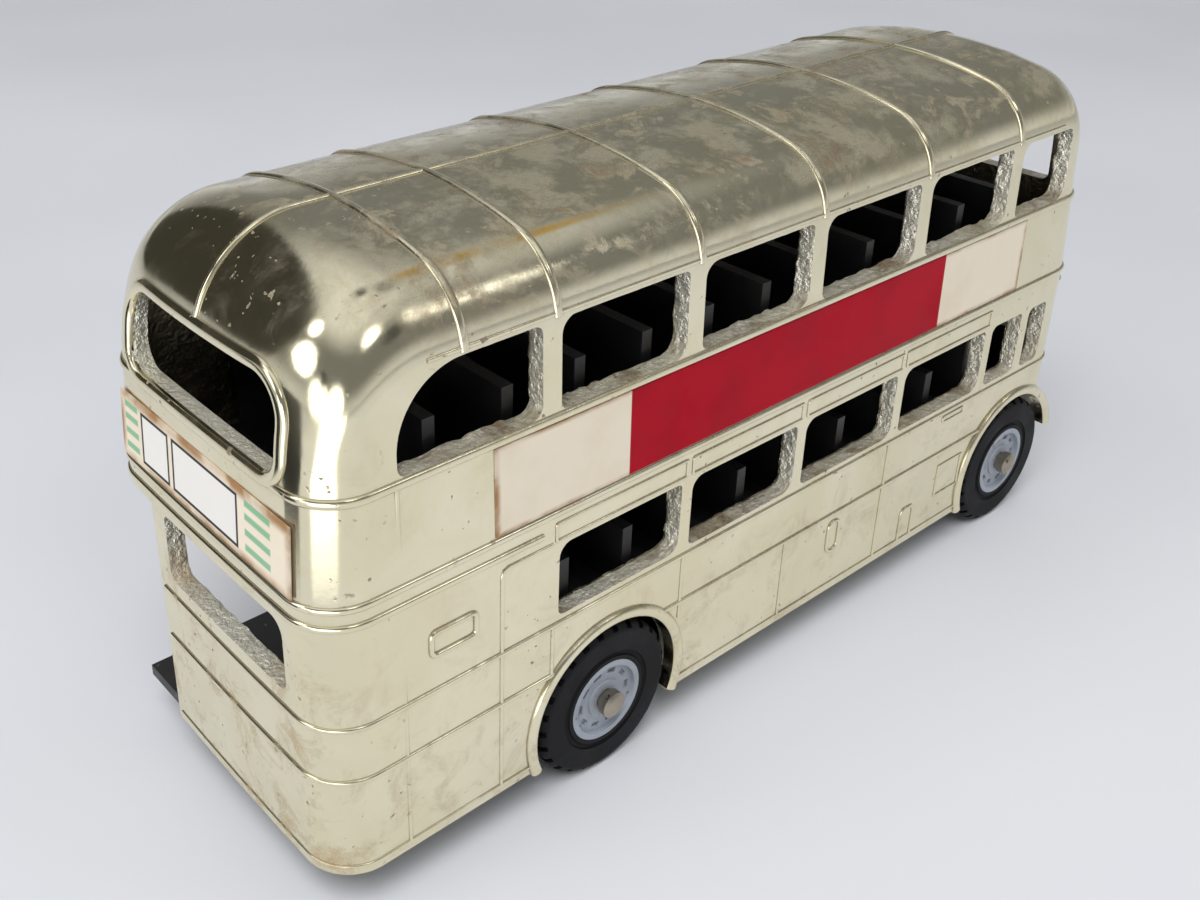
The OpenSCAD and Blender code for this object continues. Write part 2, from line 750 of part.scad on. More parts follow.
// Tyre with rounded shoulders, a groove round its outer face and notched treads
module tyre(x, s) {
    bore = hub_r + 0.04;
    seat_r = hub_r + 0.94;
    seat_t0 = 0.84;
    round_r = 0.9;
    notch_d = 0.55;
    notch_w = 0.7;
    notch_h = 1.3;
    color("#1b1b1d") on_axle(x, s) difference() {
        rotate_extrude() {
            difference() {
                union() {
                    translate([bore, round_r]) square([tyre_r - bore, tyre_w - 2 * round_r]);
                    translate([bore, 0]) square([tyre_r - bore - round_r, tyre_w]);
                    for (z = [round_r, tyre_w - round_r]) translate([tyre_r - round_r, z]) circle(round_r);
                }
                square([seat_r, seat_t0]);
                translate([bore + 0.7, tyre_w]) circle(0.3);
            }
        }
        for (i = [0:tread_n - 1], z = [0, tyre_w - notch_h])
            rotate(i * 360 / tread_n) translate([tyre_r - notch_d, -notch_w / 2, z])
                cube([2 * notch_d, notch_w, notch_h]);
    }
}

// Skin of the body inside the children's solid, as thick as a label
module label_skin() {
    intersection() {
        difference() {
            upper_solid(label_t);
            upper_solid(0);
        }
        children();
    }
}

module side_label(s) {
    color("#efe3cf") label_skin()
        translate([label_x0, s > 0 ? 0 : -body_w, label_z0])
            cube([label_x1 - label_x0, body_w, label_z1 - label_z0]);
}

module label_rear() {
    color("#efe9d8") label_skin()
        translate([rear_x - past, -rear_label_hw, label_z0])
            cube([past + corner_r, 2 * rear_label_hw, rear_label_h]);
}

module label_front() {
    color("#efe9d8") label_skin()
        translate([front_x - past, -front_label_hw, label_z0])
            cube([2 * past, 2 * front_label_hw, rear_label_h]);
}

body_shell();
base_plate();
base_rivets();
upper_deck_seats();
lower_deck_seats();
front_axle();
rear_axle();
hub(front_axle_x, -1);  // hub_front_offside
hub(front_axle_x, 1);  // hub_front_nearside
hub(rear_axle_x, -1);  // hub_rear_offside
hub(rear_axle_x, 1);  // hub_rear_nearside
tyre(front_axle_x, -1);  // tyre_front_offside
tyre(front_axle_x, 1);  // tyre_front_nearside
tyre(rear_axle_x, -1);  // tyre_rear_offside
tyre(rear_axle_x, 1);  // tyre_rear_nearside
side_label(-1);  // label_offside
side_label(1);  // label_nearside
label_rear();
label_front();
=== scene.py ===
import math
from collections import namedtuple

import bmesh
import bpy
import numpy as np
from mathutils import Matrix, Vector
from mathutils.bvhtree import BVHTree


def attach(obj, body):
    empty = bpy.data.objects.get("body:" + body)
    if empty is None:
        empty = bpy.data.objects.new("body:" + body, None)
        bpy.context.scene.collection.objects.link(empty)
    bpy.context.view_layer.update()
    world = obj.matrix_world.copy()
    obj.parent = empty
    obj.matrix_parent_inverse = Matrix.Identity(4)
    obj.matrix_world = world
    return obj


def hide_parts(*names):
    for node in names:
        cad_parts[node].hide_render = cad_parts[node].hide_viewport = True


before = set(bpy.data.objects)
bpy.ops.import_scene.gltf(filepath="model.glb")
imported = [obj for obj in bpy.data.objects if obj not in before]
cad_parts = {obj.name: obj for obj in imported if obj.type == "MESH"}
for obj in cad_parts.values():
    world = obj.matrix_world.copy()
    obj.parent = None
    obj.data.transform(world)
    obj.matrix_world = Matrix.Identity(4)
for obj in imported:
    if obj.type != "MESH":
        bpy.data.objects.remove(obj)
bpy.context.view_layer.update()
MM = 0.001
OFFSIDE, NEARSIDE = -1, 1
SIDES = (OFFSIDE, NEARSIDE)
rng = np.random.default_rng(7)

# Sizes of the casting in millimetres, after the CAD source: X to the front, Y to the nearside, Z up
REAR, FRONT = -54.9, 52.4
HALF_W, WALL = 17.5, 1.7
SKIRT, ROOF = 4.8, 57.7
BELT, RAIL, DOME_Z = 32.3, 51.5, 47.5
FLOOR_Z, BONNET_Z, NOSE_Z = 29.4, 19.3, 10.0
WAIST, PANEL, FOOT = 20.6, 15.1, 5.7
CORNER_R, FRONT_R = 4.6, 5.0
DOME_R, BROW_R = 10.2, 7.0
SHOULDER_R, CAMBER_R = 6.6, 52.0

# Growth of the shoulder's radius towards each end, and how far from the end it starts
REAR_SWELL, REAR_SWELL_REACH = 0.9, 14
FRONT_SWELL, FRONT_SWELL_REACH = 1.0, 10

# Departures from an upright box, and how far from the end each one reaches
TUMBLE = 0.5
LEAN, LEAN_REACH = 1.0, 30
RAKE, RAKE_REACH = math.tan(math.radians(5)), 22
BOW, BOW_SPAN, BOW_REACH = 0.15, 13, 20

# Wheels and arches
AXLES, AXLE_Z = (-24.0, 43.4), 8.1
ARCH_R, ARCH_Y = 8.9, 12.7
LIP_R, LIP_OUTER_R = 9.5, 10.1

# Windows, doorway and half cab
UP_PILLARS = [-31.7 + 16.6 * i for i in range(5)]
LOW_PILLARS = [-14.9 + 16.5 * i for i in range(4)]
UP_PILLAR, LOW_PILLAR = 1, 0.7
UP_Z, LOW_Z = (41.9, 50.1), (21.4, 28.9)
UP_ENDS = (-47.0, 45.6)
CAB_WINDOWS = ((35.3, 41.4), (42.9, 46.6))
REAR_UP_HALF, REAR_UP_DROP = 11.8, 0.4
REAR_LOW_Y, REAR_LOW_SILL = (-11.9, 7.5), 22.4
FRONT_UP_Y, FRONT_UP_DROP = (0.8, 13.1), 0.6
WINDSCREEN_Y = (-13.1, -0.7)
ENTRANCE_X, ENTRANCE_Y = -37.7, 9.8
HALF_CAB_X, HALF_CAB_Y = 35.3, 1.5

# Radii of the window corners, in the order that rounded() takes them
TAIL_RADII, UP_RADII, FORE_RADII = (0.9, 1.2, 0.8, 6.4), (0.7, 1.6, 0.6, 1.5), (0.7, 1.6, 0.8, 1.5)
LOW_RADII, CAB_RADII = (0.7, 1.5, 0.6, 1.4), (0.6, 0.9, 0.6, 0.9)
REAR_UP_RADII, REAR_LOW_RADII = (2.4, 2.4, 3.4, 3.4), (1.0, 1.0, 0.8, 1.6)
FRONT_RADII = (1, 1, 1, 1)

# Rough flash in the window reveals: depths through the wall and the flash's height at each
REVEAL_Y = [-21, -17.7, -17.2, -16.8, -16.4, -16.0, -15.6, -15.2, -12]
REVEAL_FLASH = [0, 0, 0, 0.06, 0.14, 0.24, 0.34, 0.34, 0]
REAR_REVEAL_X = [-60, -55.1, -54.3, -53.7, -53.2, -52.7, -44]
REAR_REVEAL_FLASH = [0, 0, 0, 0.15, 0.3, 0.3, 0]
FLASH_STEP, FLASH_POWER = 1.7, 1.6

# Levels of the upper rear window's cutter, which has no flash
REAR_UP_X = [-60, -52, -44]

# Ends of the cutters: outside the casting, below it, and within its hollow
OUT_X, OUT_Y = 60, 25
BELOW, HOLLOW_FOOT = -5, -3.0
IN_X = 44

# Points along each stretch of the casting's outside, and along its round details
N_SIDE, N_ARC, N_ROOF, N_END = 40, 16, 10, 24
N_DOME, N_BROW, N_MIDDLE = 26, 18, 44
N_ARCH, N_LIP, N_NOSE, N_GUARD, N_LAMP = 96, 90, 61, 50, 40


def smooth_step(t):
    """Smooth rise from 0 to 1 as t goes from 0 to 1."""
    t = np.clip(t, 0.0, 1.0)
    return t * t * (3 - 2 * t)


def arc_drop(distance, r):
    """How far a quarter arc of radius r has still to go at a distance from its end."""
    k = np.clip(r - np.asarray(distance, float), 0, r)
    return r - np.sqrt(r * r - k * k)


def unit(vectors):
    """Rows of vectors, each scaled to length 1."""
    return vectors / (np.linalg.norm(vectors, axis=1)[:, None] + 1e-12)


def span(side, y0, y1):
    """Two distances from the middle, on one side, in rising order."""
    return sorted((side * y0, side * y1))


# Form of the casting's outside
Section = namedtuple("Section", "half top radius centre_z from_rear from_front")


def section(x0, grow=0.0):
    """Cross-section at station x0 of the casting, grown outwards."""
    from_rear = x0 - (REAR - grow)
    from_front = (FRONT + grow) - x0
    half = HALF_W + grow - arc_drop(from_rear, CORNER_R + grow) - arc_drop(from_front, FRONT_R + grow)
    top = ROOF + grow - arc_drop(from_rear, DOME_R + grow) - arc_drop(from_front, BROW_R + grow)
    radius = SHOULDER_R + grow
    radius += REAR_SWELL * max(0, 1 - from_rear / REAR_SWELL_REACH) ** 2
    radius += FRONT_SWELL * max(0, 1 - from_front / FRONT_SWELL_REACH) ** 2
    centre_z = top - CAMBER_R + math.sqrt((CAMBER_R - radius) ** 2 - (half - radius) ** 2)
    return Section(half, top, radius, centre_z, from_rear, from_front)


def tuck(z):
    """How far the side walls have come in at a height."""
    return TUMBLE * np.clip((z - BELT) / (RAIL - BELT), 0, 1)


def warp(x0, y, z, from_rear, from_front):
    """Lean of the rear, rake of the front, bow of the rear panel and tumblehome of the sides."""
    lean = LEAN * np.clip((z - BELT) / (DOME_Z - BELT), 0, 1) * smooth_step(1 - from_rear / LEAN_REACH)
    rake = RAKE * np.clip(z - BELT, 0, None) * smooth_step(1 - from_front / RAKE_REACH)
    bow = BOW * (y / BOW_SPAN) ** 2 * smooth_step(1 - from_rear / BOW_REACH)
    x = x0 + lean - rake + bow
    return np.stack([x, y * (1 - tuck(z) / HALF_W), z + 0 * x], -1)


def half_profile(x0, grow=0.0, foot_z=SKIRT):
    """Points (y, z) from the foot of the side to the middle of the roof, y positive, and their section."""
    s = section(x0, grow)
    inner = s.half - s.radius
    flank = np.linspace(foot_z, s.centre_z, N_SIDE)
    turn = np.linspace(0, math.acos(inner / (CAMBER_R - s.radius)), N_ARC + 1)[1:]
    y = np.linspace(inner * CAMBER_R / (CAMBER_R - s.radius), 0, N_ROOF + 1)[1:]
    stretches = [np.stack([0 * flank + s.half, flank], -1),
                 np.stack([inner + s.radius * np.cos(turn), s.centre_z + s.radius * np.sin(turn)], -1),
                 np.stack([y, s.top - CAMBER_R + np.sqrt(CAMBER_R ** 2 - y * y)], -1)]
    return np.concatenate(stretches), s


def over_roof(x0, points, s):
    """Half profile as a line from the offside, over the roof, to the nearside."""
    offside = warp(x0, -points[:, 0], points[:, 1], s.from_rear, s.from_front)
    nearside = warp(x0, points[:, 0], points[:, 1], s.from_rear, s.from_front)
    return np.concatenate([offside, nearside[-2::-1]])


def stations(grow=0.0):
    """Places of the cross-sections along X, closer together where the ends are rounded."""
    dome = np.linspace(0, math.pi / 2, N_DOME)
    brow = np.linspace(0, math.pi / 2, N_BROW)
    rear = (REAR - grow) + (DOME_R + grow) * (1 - np.cos(dome))
    front = (FRONT + grow) - (BROW_R + grow) * (1 - np.cos(brow))[::-1]
    middle = np.linspace(rear[-1], front[0], N_MIDDLE)[1:-1]
    return np.concatenate([rear, middle, front])


# Meshes
def make_object(name, verts, faces):
    """Object in the scene from points in millimetres."""
    mesh = bpy.data.meshes.new(name)
    mesh.from_pydata([tuple(v) for v in np.asarray(verts, float) * MM], [], faces)
    mesh.update()
    ob = bpy.data.objects.new(name, mesh)
    bpy.context.scene.collection.objects.link(ob)
    return ob


def skin_faces(rows, n, closed=False, open_start=False):
    """Faces of a tube through rows of n points; its ends are joined if closed, and else capped."""
    faces = []
    for i in range(rows if closed else rows - 1):
        p, q = i * n, (i + 1) % rows * n
        for j in range(n):
            k = (j + 1) % n
            faces.append((p + j, p + k, q + k, q + j))
    if not closed:
        if not open_start:
            faces.append(tuple(range(n))[::-1])
        faces.append(tuple(range((rows - 1) * n, rows * n)))
    return faces


def loft(name, grow, foot_z):
    """Closed solid of the casting's outside, grown outwards, with its foot at foot_z."""
    xs = stations(grow)
    profiles = [half_profile(x0, grow, foot_z) for x0 in xs]
    verts = [np.concatenate([over_roof(x0, *profile) for x0, profile in zip(xs, profiles)])]
    k = len(profiles[0][0])
    n = 2 * k - 1
    last = len(xs) - 1
    faces = []
    for i in range(last):
        for j in range(n - 1):
            p = i * n + j
            faces.append((p, p + 1, p + n + 1, p + n))
    count = len(xs) * n
    foot_rows = []
    for i in (0, last):
        points, s = profiles[i]
        rows = []
        for j in range(k - 1):
            y = np.linspace(-points[j, 0], points[j, 0], N_END + 1)[1:-1]
            verts.append(warp(xs[i], y, np.full(N_END - 1, points[j, 1]), s.from_rear, s.from_front))
            rows.append([i * n + j] + list(range(count, count + N_END - 1)) + [i * n + n - 1 - j])
            count += N_END - 1
        foot_rows.append(rows[0])
        cap = []
        for low, high in zip(rows, rows[1:]):
            cap += [(low[c], low[c + 1], high[c + 1], high[c]) for c in range(N_END)]
        cap += [(rows[-1][c], rows[-1][c + 1], i * n + k - 1) for c in range(N_END)]
        faces += [f[::-1] for f in cap] if i == 0 else cap
    for i in range(1, last - 1):
        faces.append((i * n, (i + 1) * n, (i + 1) * n + n - 1, i * n + n - 1))
    p = (last - 1) * n
    faces.append(tuple([n, 2 * n - 1] + foot_rows[0][::-1]))
    faces.append(tuple([p + n - 1, p] + foot_rows[1]))
    return make_object(name, np.concatenate(verts), faces)


def rounded(x0, x1, y0, y1, radii, step=0.45):
    """Outline with its own radius at each corner: low-low, high-low, high-high, low-high."""
    arcs = []
    quarter_arc = 1.6
    corners = [(x0, y0, 180), (x1, y0, 270), (x1, y1, 0), (x0, y1, 90)]
    for (corner_x, corner_y, start), r in zip(corners, radii):
        x = corner_x + (r if corner_x == x0 else -r)
        y = corner_y + (r if corner_y == y0 else -r)
        count = max(4, int(r * quarter_arc / step) + 3)
        for turn in np.radians(np.linspace(start, start + 90, count)):
            arcs.append(np.array((x + r * math.cos(turn), y + r * math.sin(turn))))
    outline = []
    for p, q in zip(arcs, arcs[1:] + arcs[:1]):
        count = max(1, int(np.linalg.norm(q - p) / step))
        outline += [p + (q - p) * i / count for i in range(count)]
    return np.array(outline)


def wave(count, height):
    """Smooth closed noise along an outline of so many points, from 0 to height."""
    knots = max(4, int(count / FLASH_STEP))
    value = rng.random(knots) ** FLASH_POWER
    t = np.arange(count) * knots / count
    i = t.astype(int)
    f = smooth_step(t - i)
    return height * (value[i % knots] * (1 - f) + value[(i + 1) % knots] * f)


def prism(outline, levels, place, flash=None):
    """Closed prism through an outline; flash gives the height of the rough metal inside it at each level."""
    n = len(outline)
    along_edge = np.roll(outline, -1, 0) - np.roll(outline, 1, 0)
    inward = unit(np.stack([-along_edge[:, 1], along_edge[:, 0]], -1))
    rows = []
    for level, rough in zip(levels, flash or [0] * len(levels)):
        row = outline + inward * wave(n, rough)[:, None] if rough else outline
        rows.append(place(row, level))
    return np.concatenate(rows), skin_faces(len(levels), n)


def across(outline, y):
    """Outline of (x, z) points, put at a distance from the middle."""
    return np.stack([outline[:, 0], np.full(len(outline), y), outline[:, 1]], -1)


def along(outline, x):
    """Outline of (y, z) points, put at a station."""
    return np.stack([np.full(len(outline), x), outline[:, 0], outline[:, 1]], -1)


def lying(outline, z):
    """Outline of (x, y) points, put at a height."""
    return np.stack([outline[:, 0], outline[:, 1], np.full(len(outline), z)], -1)


def block(low, high):
    """Box between two corners."""
    verts = [(x, y, z) for x in (low[0], high[0]) for y in (low[1], high[1]) for z in (low[2], high[2])]
    faces = [(0, 1, 3, 2), (4, 6, 7, 5), (0, 4, 5, 1), (2, 3, 7, 6), (0, 2, 6, 4), (1, 5, 7, 3)]
    return np.array(verts, float), faces


def joined(pieces):
    """Several pieces of points and faces as one."""
    verts, faces, base = [], [], 0
    for piece_verts, piece_faces in pieces:
        verts.append(np.asarray(piece_verts, float))
        faces += [tuple(i + base for i in face) for face in piece_faces]
        base += len(piece_verts)
    return np.concatenate(verts), faces


def fix_normals(ob):
    """Turn all the faces of an object outwards."""
    bm = bmesh.new()
    bm.from_mesh(ob.data)
    bmesh.ops.recalc_face_normals(bm, faces=bm.faces)
    bm.to_mesh(ob.data)
    bm.free()


def cut(ob, cutter):
    """Take the cutter out of an object and delete it."""
    fix_normals(cutter)
    modifier = ob.modifiers.new("cut", "BOOLEAN")
    modifier.operation = "DIFFERENCE"
    modifier.solver = "MANIFOLD"
    modifier.object = cutter
    bpy.context.view_layer.update()
    graph = bpy.context.evaluated_depsgraph_get()
    mesh = bpy.data.meshes.new_from_object(ob.evaluated_get(graph))
    ob.modifiers.clear()
    old = ob.data
    ob.data = mesh
    bpy.data.meshes.remove(old)
    bpy.data.objects.remove(cutter)


# Openings of the casting
def side_windows():
    """Cutters of the windows on both sides, and of the cab's on the offside."""
    outlines = [rounded(UP_ENDS[0], UP_PILLARS[0] - UP_PILLAR, *UP_Z, TAIL_RADII)]
    for x0, x1 in zip(UP_PILLARS, UP_PILLARS[1:]):
        outlines.append(rounded(x0 + UP_PILLAR, x1 - UP_PILLAR, *UP_Z, UP_RADII))
    outlines.append(rounded(UP_PILLARS[-1] + UP_PILLAR, UP_ENDS[1], *UP_Z, FORE_RADII))
    outlines.append(rounded(UP_PILLARS[0] + UP_PILLAR, LOW_PILLARS[0] - LOW_PILLAR, *LOW_Z, LOW_RADII))
    for x0, x1 in zip(LOW_PILLARS, LOW_PILLARS[1:]):
        outlines.append(rounded(x0 + LOW_PILLAR, x1 - LOW_PILLAR, *LOW_Z, LOW_RADII))
    through_y = REVEAL_Y + [-y for y in REVEAL_Y[::-1]]
    through_flash = REVEAL_FLASH + REVEAL_FLASH[::-1]
    cutters = [prism(outline, through_y, across, through_flash) for outline in outlines]
    for x0, x1 in CAB_WINDOWS:
        cutters.append(prism(rounded(x0, x1, *LOW_Z, CAB_RADII), REVEAL_Y, across, REVEAL_FLASH))
    return cutters


def end_windows():
    """Cutters of the windows in the rear and the front."""
    upper = rounded(-REAR_UP_HALF, REAR_UP_HALF, UP_Z[0], UP_Z[1] - REAR_UP_DROP, REAR_UP_RADII)
    lower = rounded(*REAR_LOW_Y, REAR_LOW_SILL, FLOOR_Z, REAR_LOW_RADII)
    cutters = [prism(upper, REAR_UP_X, along), prism(lower, REAR_REVEAL_X, along, REAR_REVEAL_FLASH)]
    for side in SIDES:
        pane = rounded(*span(side, *FRONT_UP_Y), UP_Z[0], UP_Z[1] - FRONT_UP_DROP, FRONT_RADII)
        cutters.append(prism(pane, [IN_X, OUT_X], along))
    cutters.append(prism(rounded(*WINDSCREEN_Y, *LOW_Z, FRONT_RADII), [IN_X, OUT_X], along))
    return cutters


def arch(x, side):
    """Cutter of one wheel arch."""
    turn = np.linspace(0, 2 * math.pi, N_ARCH, endpoint=False)
    outline = np.stack([x + ARCH_R * np.cos(turn), AXLE_Z + ARCH_R * np.sin(turn)], -1)
    return prism(outline, span(side, ARCH_Y, OUT_Y), across)


def front_corner(side):
    """Cutter of the skirt in front of a front wheel."""
    corner_x = 49.5
    y0, y1 = span(side, ARCH_Y, OUT_Y)
    return block((corner_x, y0, BELOW), (OUT_X, y1, NOSE_Z))


body = loft("casting", 0.0, SKIRT)
fix_normals(body)
skin_tree = BVHTree.FromPolygons([v.co / MM for v in body.data.vertices],
                                 [tuple(face.vertices) for face in body.data.polygons])
cut(body, loft("hollow", -WALL, HOLLOW_FOOT))
cut(body, make_object("cut_sides", *joined(side_windows())))
cut(body, make_object("cut_ends", *joined(end_windows())))
doorway = block((-OUT_X, ENTRANCE_Y, BELOW), (ENTRANCE_X, OUT_Y, FLOOR_Z))
half_cab = block((HALF_CAB_X, HALF_CAB_Y, BONNET_Z), (OUT_X, OUT_Y, FLOOR_Z))
cut(body, make_object("cut_entrance", *joined([doorway, half_cab])))
for cutter in [arch(x, side) for x in AXLES for side in SIDES] + [front_corner(side) for side in SIDES]:
    cut(body, make_object("cut_arch", *cutter))


# Raised trim that lies on the casting: half width and height of each kind of strip
DECK, SILL, GUTTER = (0.34, 0.24), (0.42, 0.27), (0.2, 0.12)
WAIST_LINE, FOOT_LINE, SEAM, VENT_LINE = (0.26, 0.2), (0.2, 0.14), (0.2, 0.15), (0.17, 0.15)
FILLER, HATCH, STEP_HOLE = (0.26, 0.26), (0.2, 0.2), (0.2, 0.18)
FLAP, SLOT = (0.16, 0.14), (0.14, 0.12)
RIB, CENTRE_LINE = (0.40, 0.25), (0.30, 0.22)
REAR_FRAME, ARCH_LIP = (0.62, 0.36), (0.62, 0.45)

trim = []


def tangents(path, closed=False):
    """Directions along a path at its points."""
    return unit(np.roll(path, -1, 0) - np.roll(path, 1, 0) if closed else np.gradient(path, axis=0))


def bead(path, normal, size, closed=False, sink=0.12, points=9):
    """Half-round strip along a path on a surface, sunk a little into it."""
    half_w, height = size
    sideways = unit(np.cross(tangents(path, closed), normal))
    profile = [(math.cos(a) * half_w, math.sin(a) * height) for a in np.linspace(0, math.pi, points)]
    profile = [(profile[0][0], -sink)] + profile + [(profile[-1][0], -sink)]
    verts = np.stack([path + sideways * u + normal * w for u, w in profile], 1).reshape(-1, 3)
    return verts, skin_faces(len(path), len(profile), closed)


def dense(path, normal, closed, step=0.5):
    """A path and its normals with more points, about a step apart."""
    points, normals = [], []
    m = len(path)
    for i in range(m if closed else m - 1):
        a, b = path[i], path[(i + 1) % m]
        count = max(1, int(np.linalg.norm(b - a) / step))
        for f in np.arange(count) / count:
            points.append(a * (1 - f) + b * f)
            v = normal[i] * (1 - f) + normal[(i + 1) % m] * f
            normals.append(v / np.linalg.norm(v))
    if not closed:
        points.append(path[-1])
        normals.append(normal[-1])
    return np.array(points), np.array(normals)


def ring_at(z):
    """Plan outline of the casting at a height, with normals: rear, offside, front and nearside."""
    xs = stations()
    least_step = 0.05
    path = []
    for side, order in ((OFFSIDE, xs), (NEARSIDE, xs[::-1])):
        s = section(order[0])
        for y in np.linspace(-side * s.half, side * s.half, N_END + 1)[1:-1]:
            path.append(warp(order[0], y, z, s.from_rear, s.from_front))
        for x0 in order:
            s = section(x0)
            half = s.half
            if z > s.centre_z:
                half += math.sqrt(max(0, s.radius ** 2 - (z - s.centre_z) ** 2)) - s.radius
            path.append(warp(x0, side * half, z, s.from_rear, s.from_front))
    kept = path[:1]
    for point in path[1:]:
        if np.linalg.norm(point - kept[-1]) > least_step:
            kept.append(point)
    kept = np.array(kept)
    t = tangents(kept, True)
    return kept, np.stack([t[:, 1], -t[:, 0], 0 * t[:, 0]], -1)


def runs_where(path, normal, test):
    """Runs of a closed path where the test holds, each with its normals and whether it is closed."""
    ok = np.array([bool(test(p)) for p in path])
    if ok.all():
        return [(path, normal, True)]
    start = int(np.where(~ok)[0][0])
    runs, run = [], []
    for i in (np.arange(len(path)) + start) % len(path):
        if ok[i]:
            run.append(i)
        elif run:
            runs.append(run)
            run = []
    if run:
        runs.append(run)
    return [(path[r], normal[r], False) for r in runs if len(r) > 2]


def line_round(z, size, test=lambda p: True):
    """Strip round the casting at a height, where the test holds."""
    path, normal = dense(*ring_at(z), True)
    for run, run_normal, closed in runs_where(path, normal, test):
        trim.append(bead(run, run_normal, size, closed))


def line_side(points, size, side=OFFSIDE, closed=False):
    """Strip on a side wall through points given as (x, z)."""
    path = np.array([(x, side * (HALF_W - tuck(z)), z) for x, z in points])
    normal = np.tile([0.0, side, 0.0], (len(path), 1))
    trim.append(bead(*dense(path, normal, closed, 0.4), size, closed))


def box_side(x0, x1, z0, z1, corner, size, side=OFFSIDE):
    """Strip round a rectangle with rounded corners on a side wall."""
    line_side(rounded(x0, x1, z0, z1, (corner,) * 4), size, side, True)


def clear_low(point):
    """True where a strip on the lower deck has metal behind it."""
    x, y, z = point
    in_doorway = y > ENTRANCE_Y - 0.3 and x < ENTRANCE_X + 0.1
    in_half_cab = x > HALF_CAB_X - 0.2 and y > HALF_CAB_Y - 0.2 and z > BONNET_Z
    behind_nose = x > 51 and z < BONNET_Z + 0.4
    over_wheel = abs(y) > ARCH_Y - 0.1 and any(math.hypot(x - axle, z - AXLE_Z) < LIP_OUTER_R - 0.3
                                               for axle in AXLES)
    return not (in_doorway or in_half_cab or behind_nose or over_wheel)


# Heights of the strips round the casting, and the stations where the broken ones stop
LOW_DECK_Z, SILL_Z, GUTTER_Z = 30.6, 41.45, 50.6
LOW_DECK_STOPS, GUTTER_END = (-32.2, 50), 44
line_round(BELT, DECK)
line_round(LOW_DECK_Z, DECK, lambda p: p[0] < LOW_DECK_STOPS[0] or p[0] > LOW_DECK_STOPS[1])
line_round(SILL_Z, SILL)
line_round(GUTTER_Z, GUTTER, lambda p: abs(p[0]) < GUTTER_END)
line_round(WAIST, WAIST_LINE, clear_low)
line_round(PANEL, WAIST_LINE, clear_low)
line_round(FOOT, FOOT_LINE, clear_low)

# Seams of the panels on both sides, as station and the heights between which each runs
SEAMS = ((-31.3, PANEL, WAIST), (-14.8, 13.4, WAIST), (1.0, FOOT, PANEL), (17.6, FOOT, WAIST))
VENT_Z, VENT_MARGINS, VENT_CORNER = (29.45, 31.2), (0.6, 0.2), 0.15
CORNER_SEAM_X, CORNER_SEAM_TOP = -47.15, 41.4
DOOR_LINE = ((-37.1, FOOT), (-37.1, 28.6), (-36.9, 29.1), (-36.4, 29.3), (-31.5, 29.3))
STEP_OUTLINE = ((22.3, FOOT), (22.3, 9.2), (22.7, 9.8), (24.1, 9.8), (24.6, 9.2), (24.6, FOOT))
FLAP_OUTLINE = ((28.7, 9.15), (33.2, 9.15), (33.2, 13.2), (28.7, 13.2))
FILLER_X, FILLER_Z = (-44.5, -39.9), (24.2, 26.5)
HATCH_X, HATCH_Z = (8.4, 10.2), (10.25, 14.05)
SLOT_X, SLOT_Z = (27.8, 31.8), (19.3, 20.0)

for side in SIDES:
    if side == OFFSIDE:
        line_side(((CORNER_SEAM_X, FOOT), (CORNER_SEAM_X, CORNER_SEAM_TOP)), SEAM)
        line_side(DOOR_LINE, SEAM)
    for x, z0, z1 in SEAMS:
        line_side(((x, z0), (x, z1)), SEAM, side)
    for x0, x1 in zip([UP_PILLARS[0]] + LOW_PILLARS, LOW_PILLARS):
        box_side(x0 + VENT_MARGINS[0], x1 - VENT_MARGINS[1], *VENT_Z, VENT_CORNER, VENT_LINE, side)
box_side(*FILLER_X, *FILLER_Z, corner=0.5, size=FILLER)
box_side(*HATCH_X, *HATCH_Z, corner=0.8, size=HATCH)
line_side(STEP_OUTLINE, STEP_HOLE)
line_side(FLAP_OUTLINE, FLAP, closed=True)
box_side(*SLOT_X, *SLOT_Z, corner=0.3, size=SLOT)

# Ribs over the roof
REAR_RIB_X, RIB_OFFSET, RIB_RISE = -41.0, 0.5, 0.1
for x0 in [REAR_RIB_X] + [x + RIB_OFFSET for x in UP_PILLARS]:
    points, s = half_profile(x0)
    path = over_roof(x0, points[points[:, 1] > UP_Z[1] + RIB_RISE], s)
    t = tangents(path)
    normal = np.stack([0 * t[:, 0], -t[:, 2], t[:, 1]], -1)
    trim.append(bead(*dense(path, normal, False), RIB))


def rear_x(y, z):
    """Where the rear surface stands at (y, z), found by halving a depth from the rear end."""
    low, high = 0.0, 22.0
    far_from_front = 200.0
    wide = abs(y) / (1 - tuck(z) / HALF_W)
    for _ in range(40):
        depth = (low + high) / 2
        s = section(REAR + depth)
        inner = s.half - s.radius
        inside = wide <= s.half and z <= s.top - CAMBER_R + math.sqrt(CAMBER_R ** 2 - min(wide, s.half) ** 2)
        if inside and z > s.centre_z and wide > inner * CAMBER_R / (CAMBER_R - s.radius):
            inside = (wide - inner) ** 2 + (z - s.centre_z) ** 2 <= s.radius ** 2
        low, high = (low, depth) if inside else (depth, high)
    return float(warp(REAR + high, float(y), float(z), high, far_from_front)[0])


def on_rear(points):
    """Points (y, z) put on the rear surface, and the surface's normals there."""
    path, normals, d = [], [], 0.05
    for y, z in points:
        path.append((rear_x(y, z), y, z))
        slope_y = (rear_x(y + d, z) - rear_x(y - d, z)) / (2 * d)
        slope_z = (rear_x(y, z + d) - rear_x(y, z - d)) / (2 * d)
        v = np.array([-1.0, slope_y, slope_z])
        normals.append(v / np.linalg.norm(v))
    return np.array(path), np.array(normals)


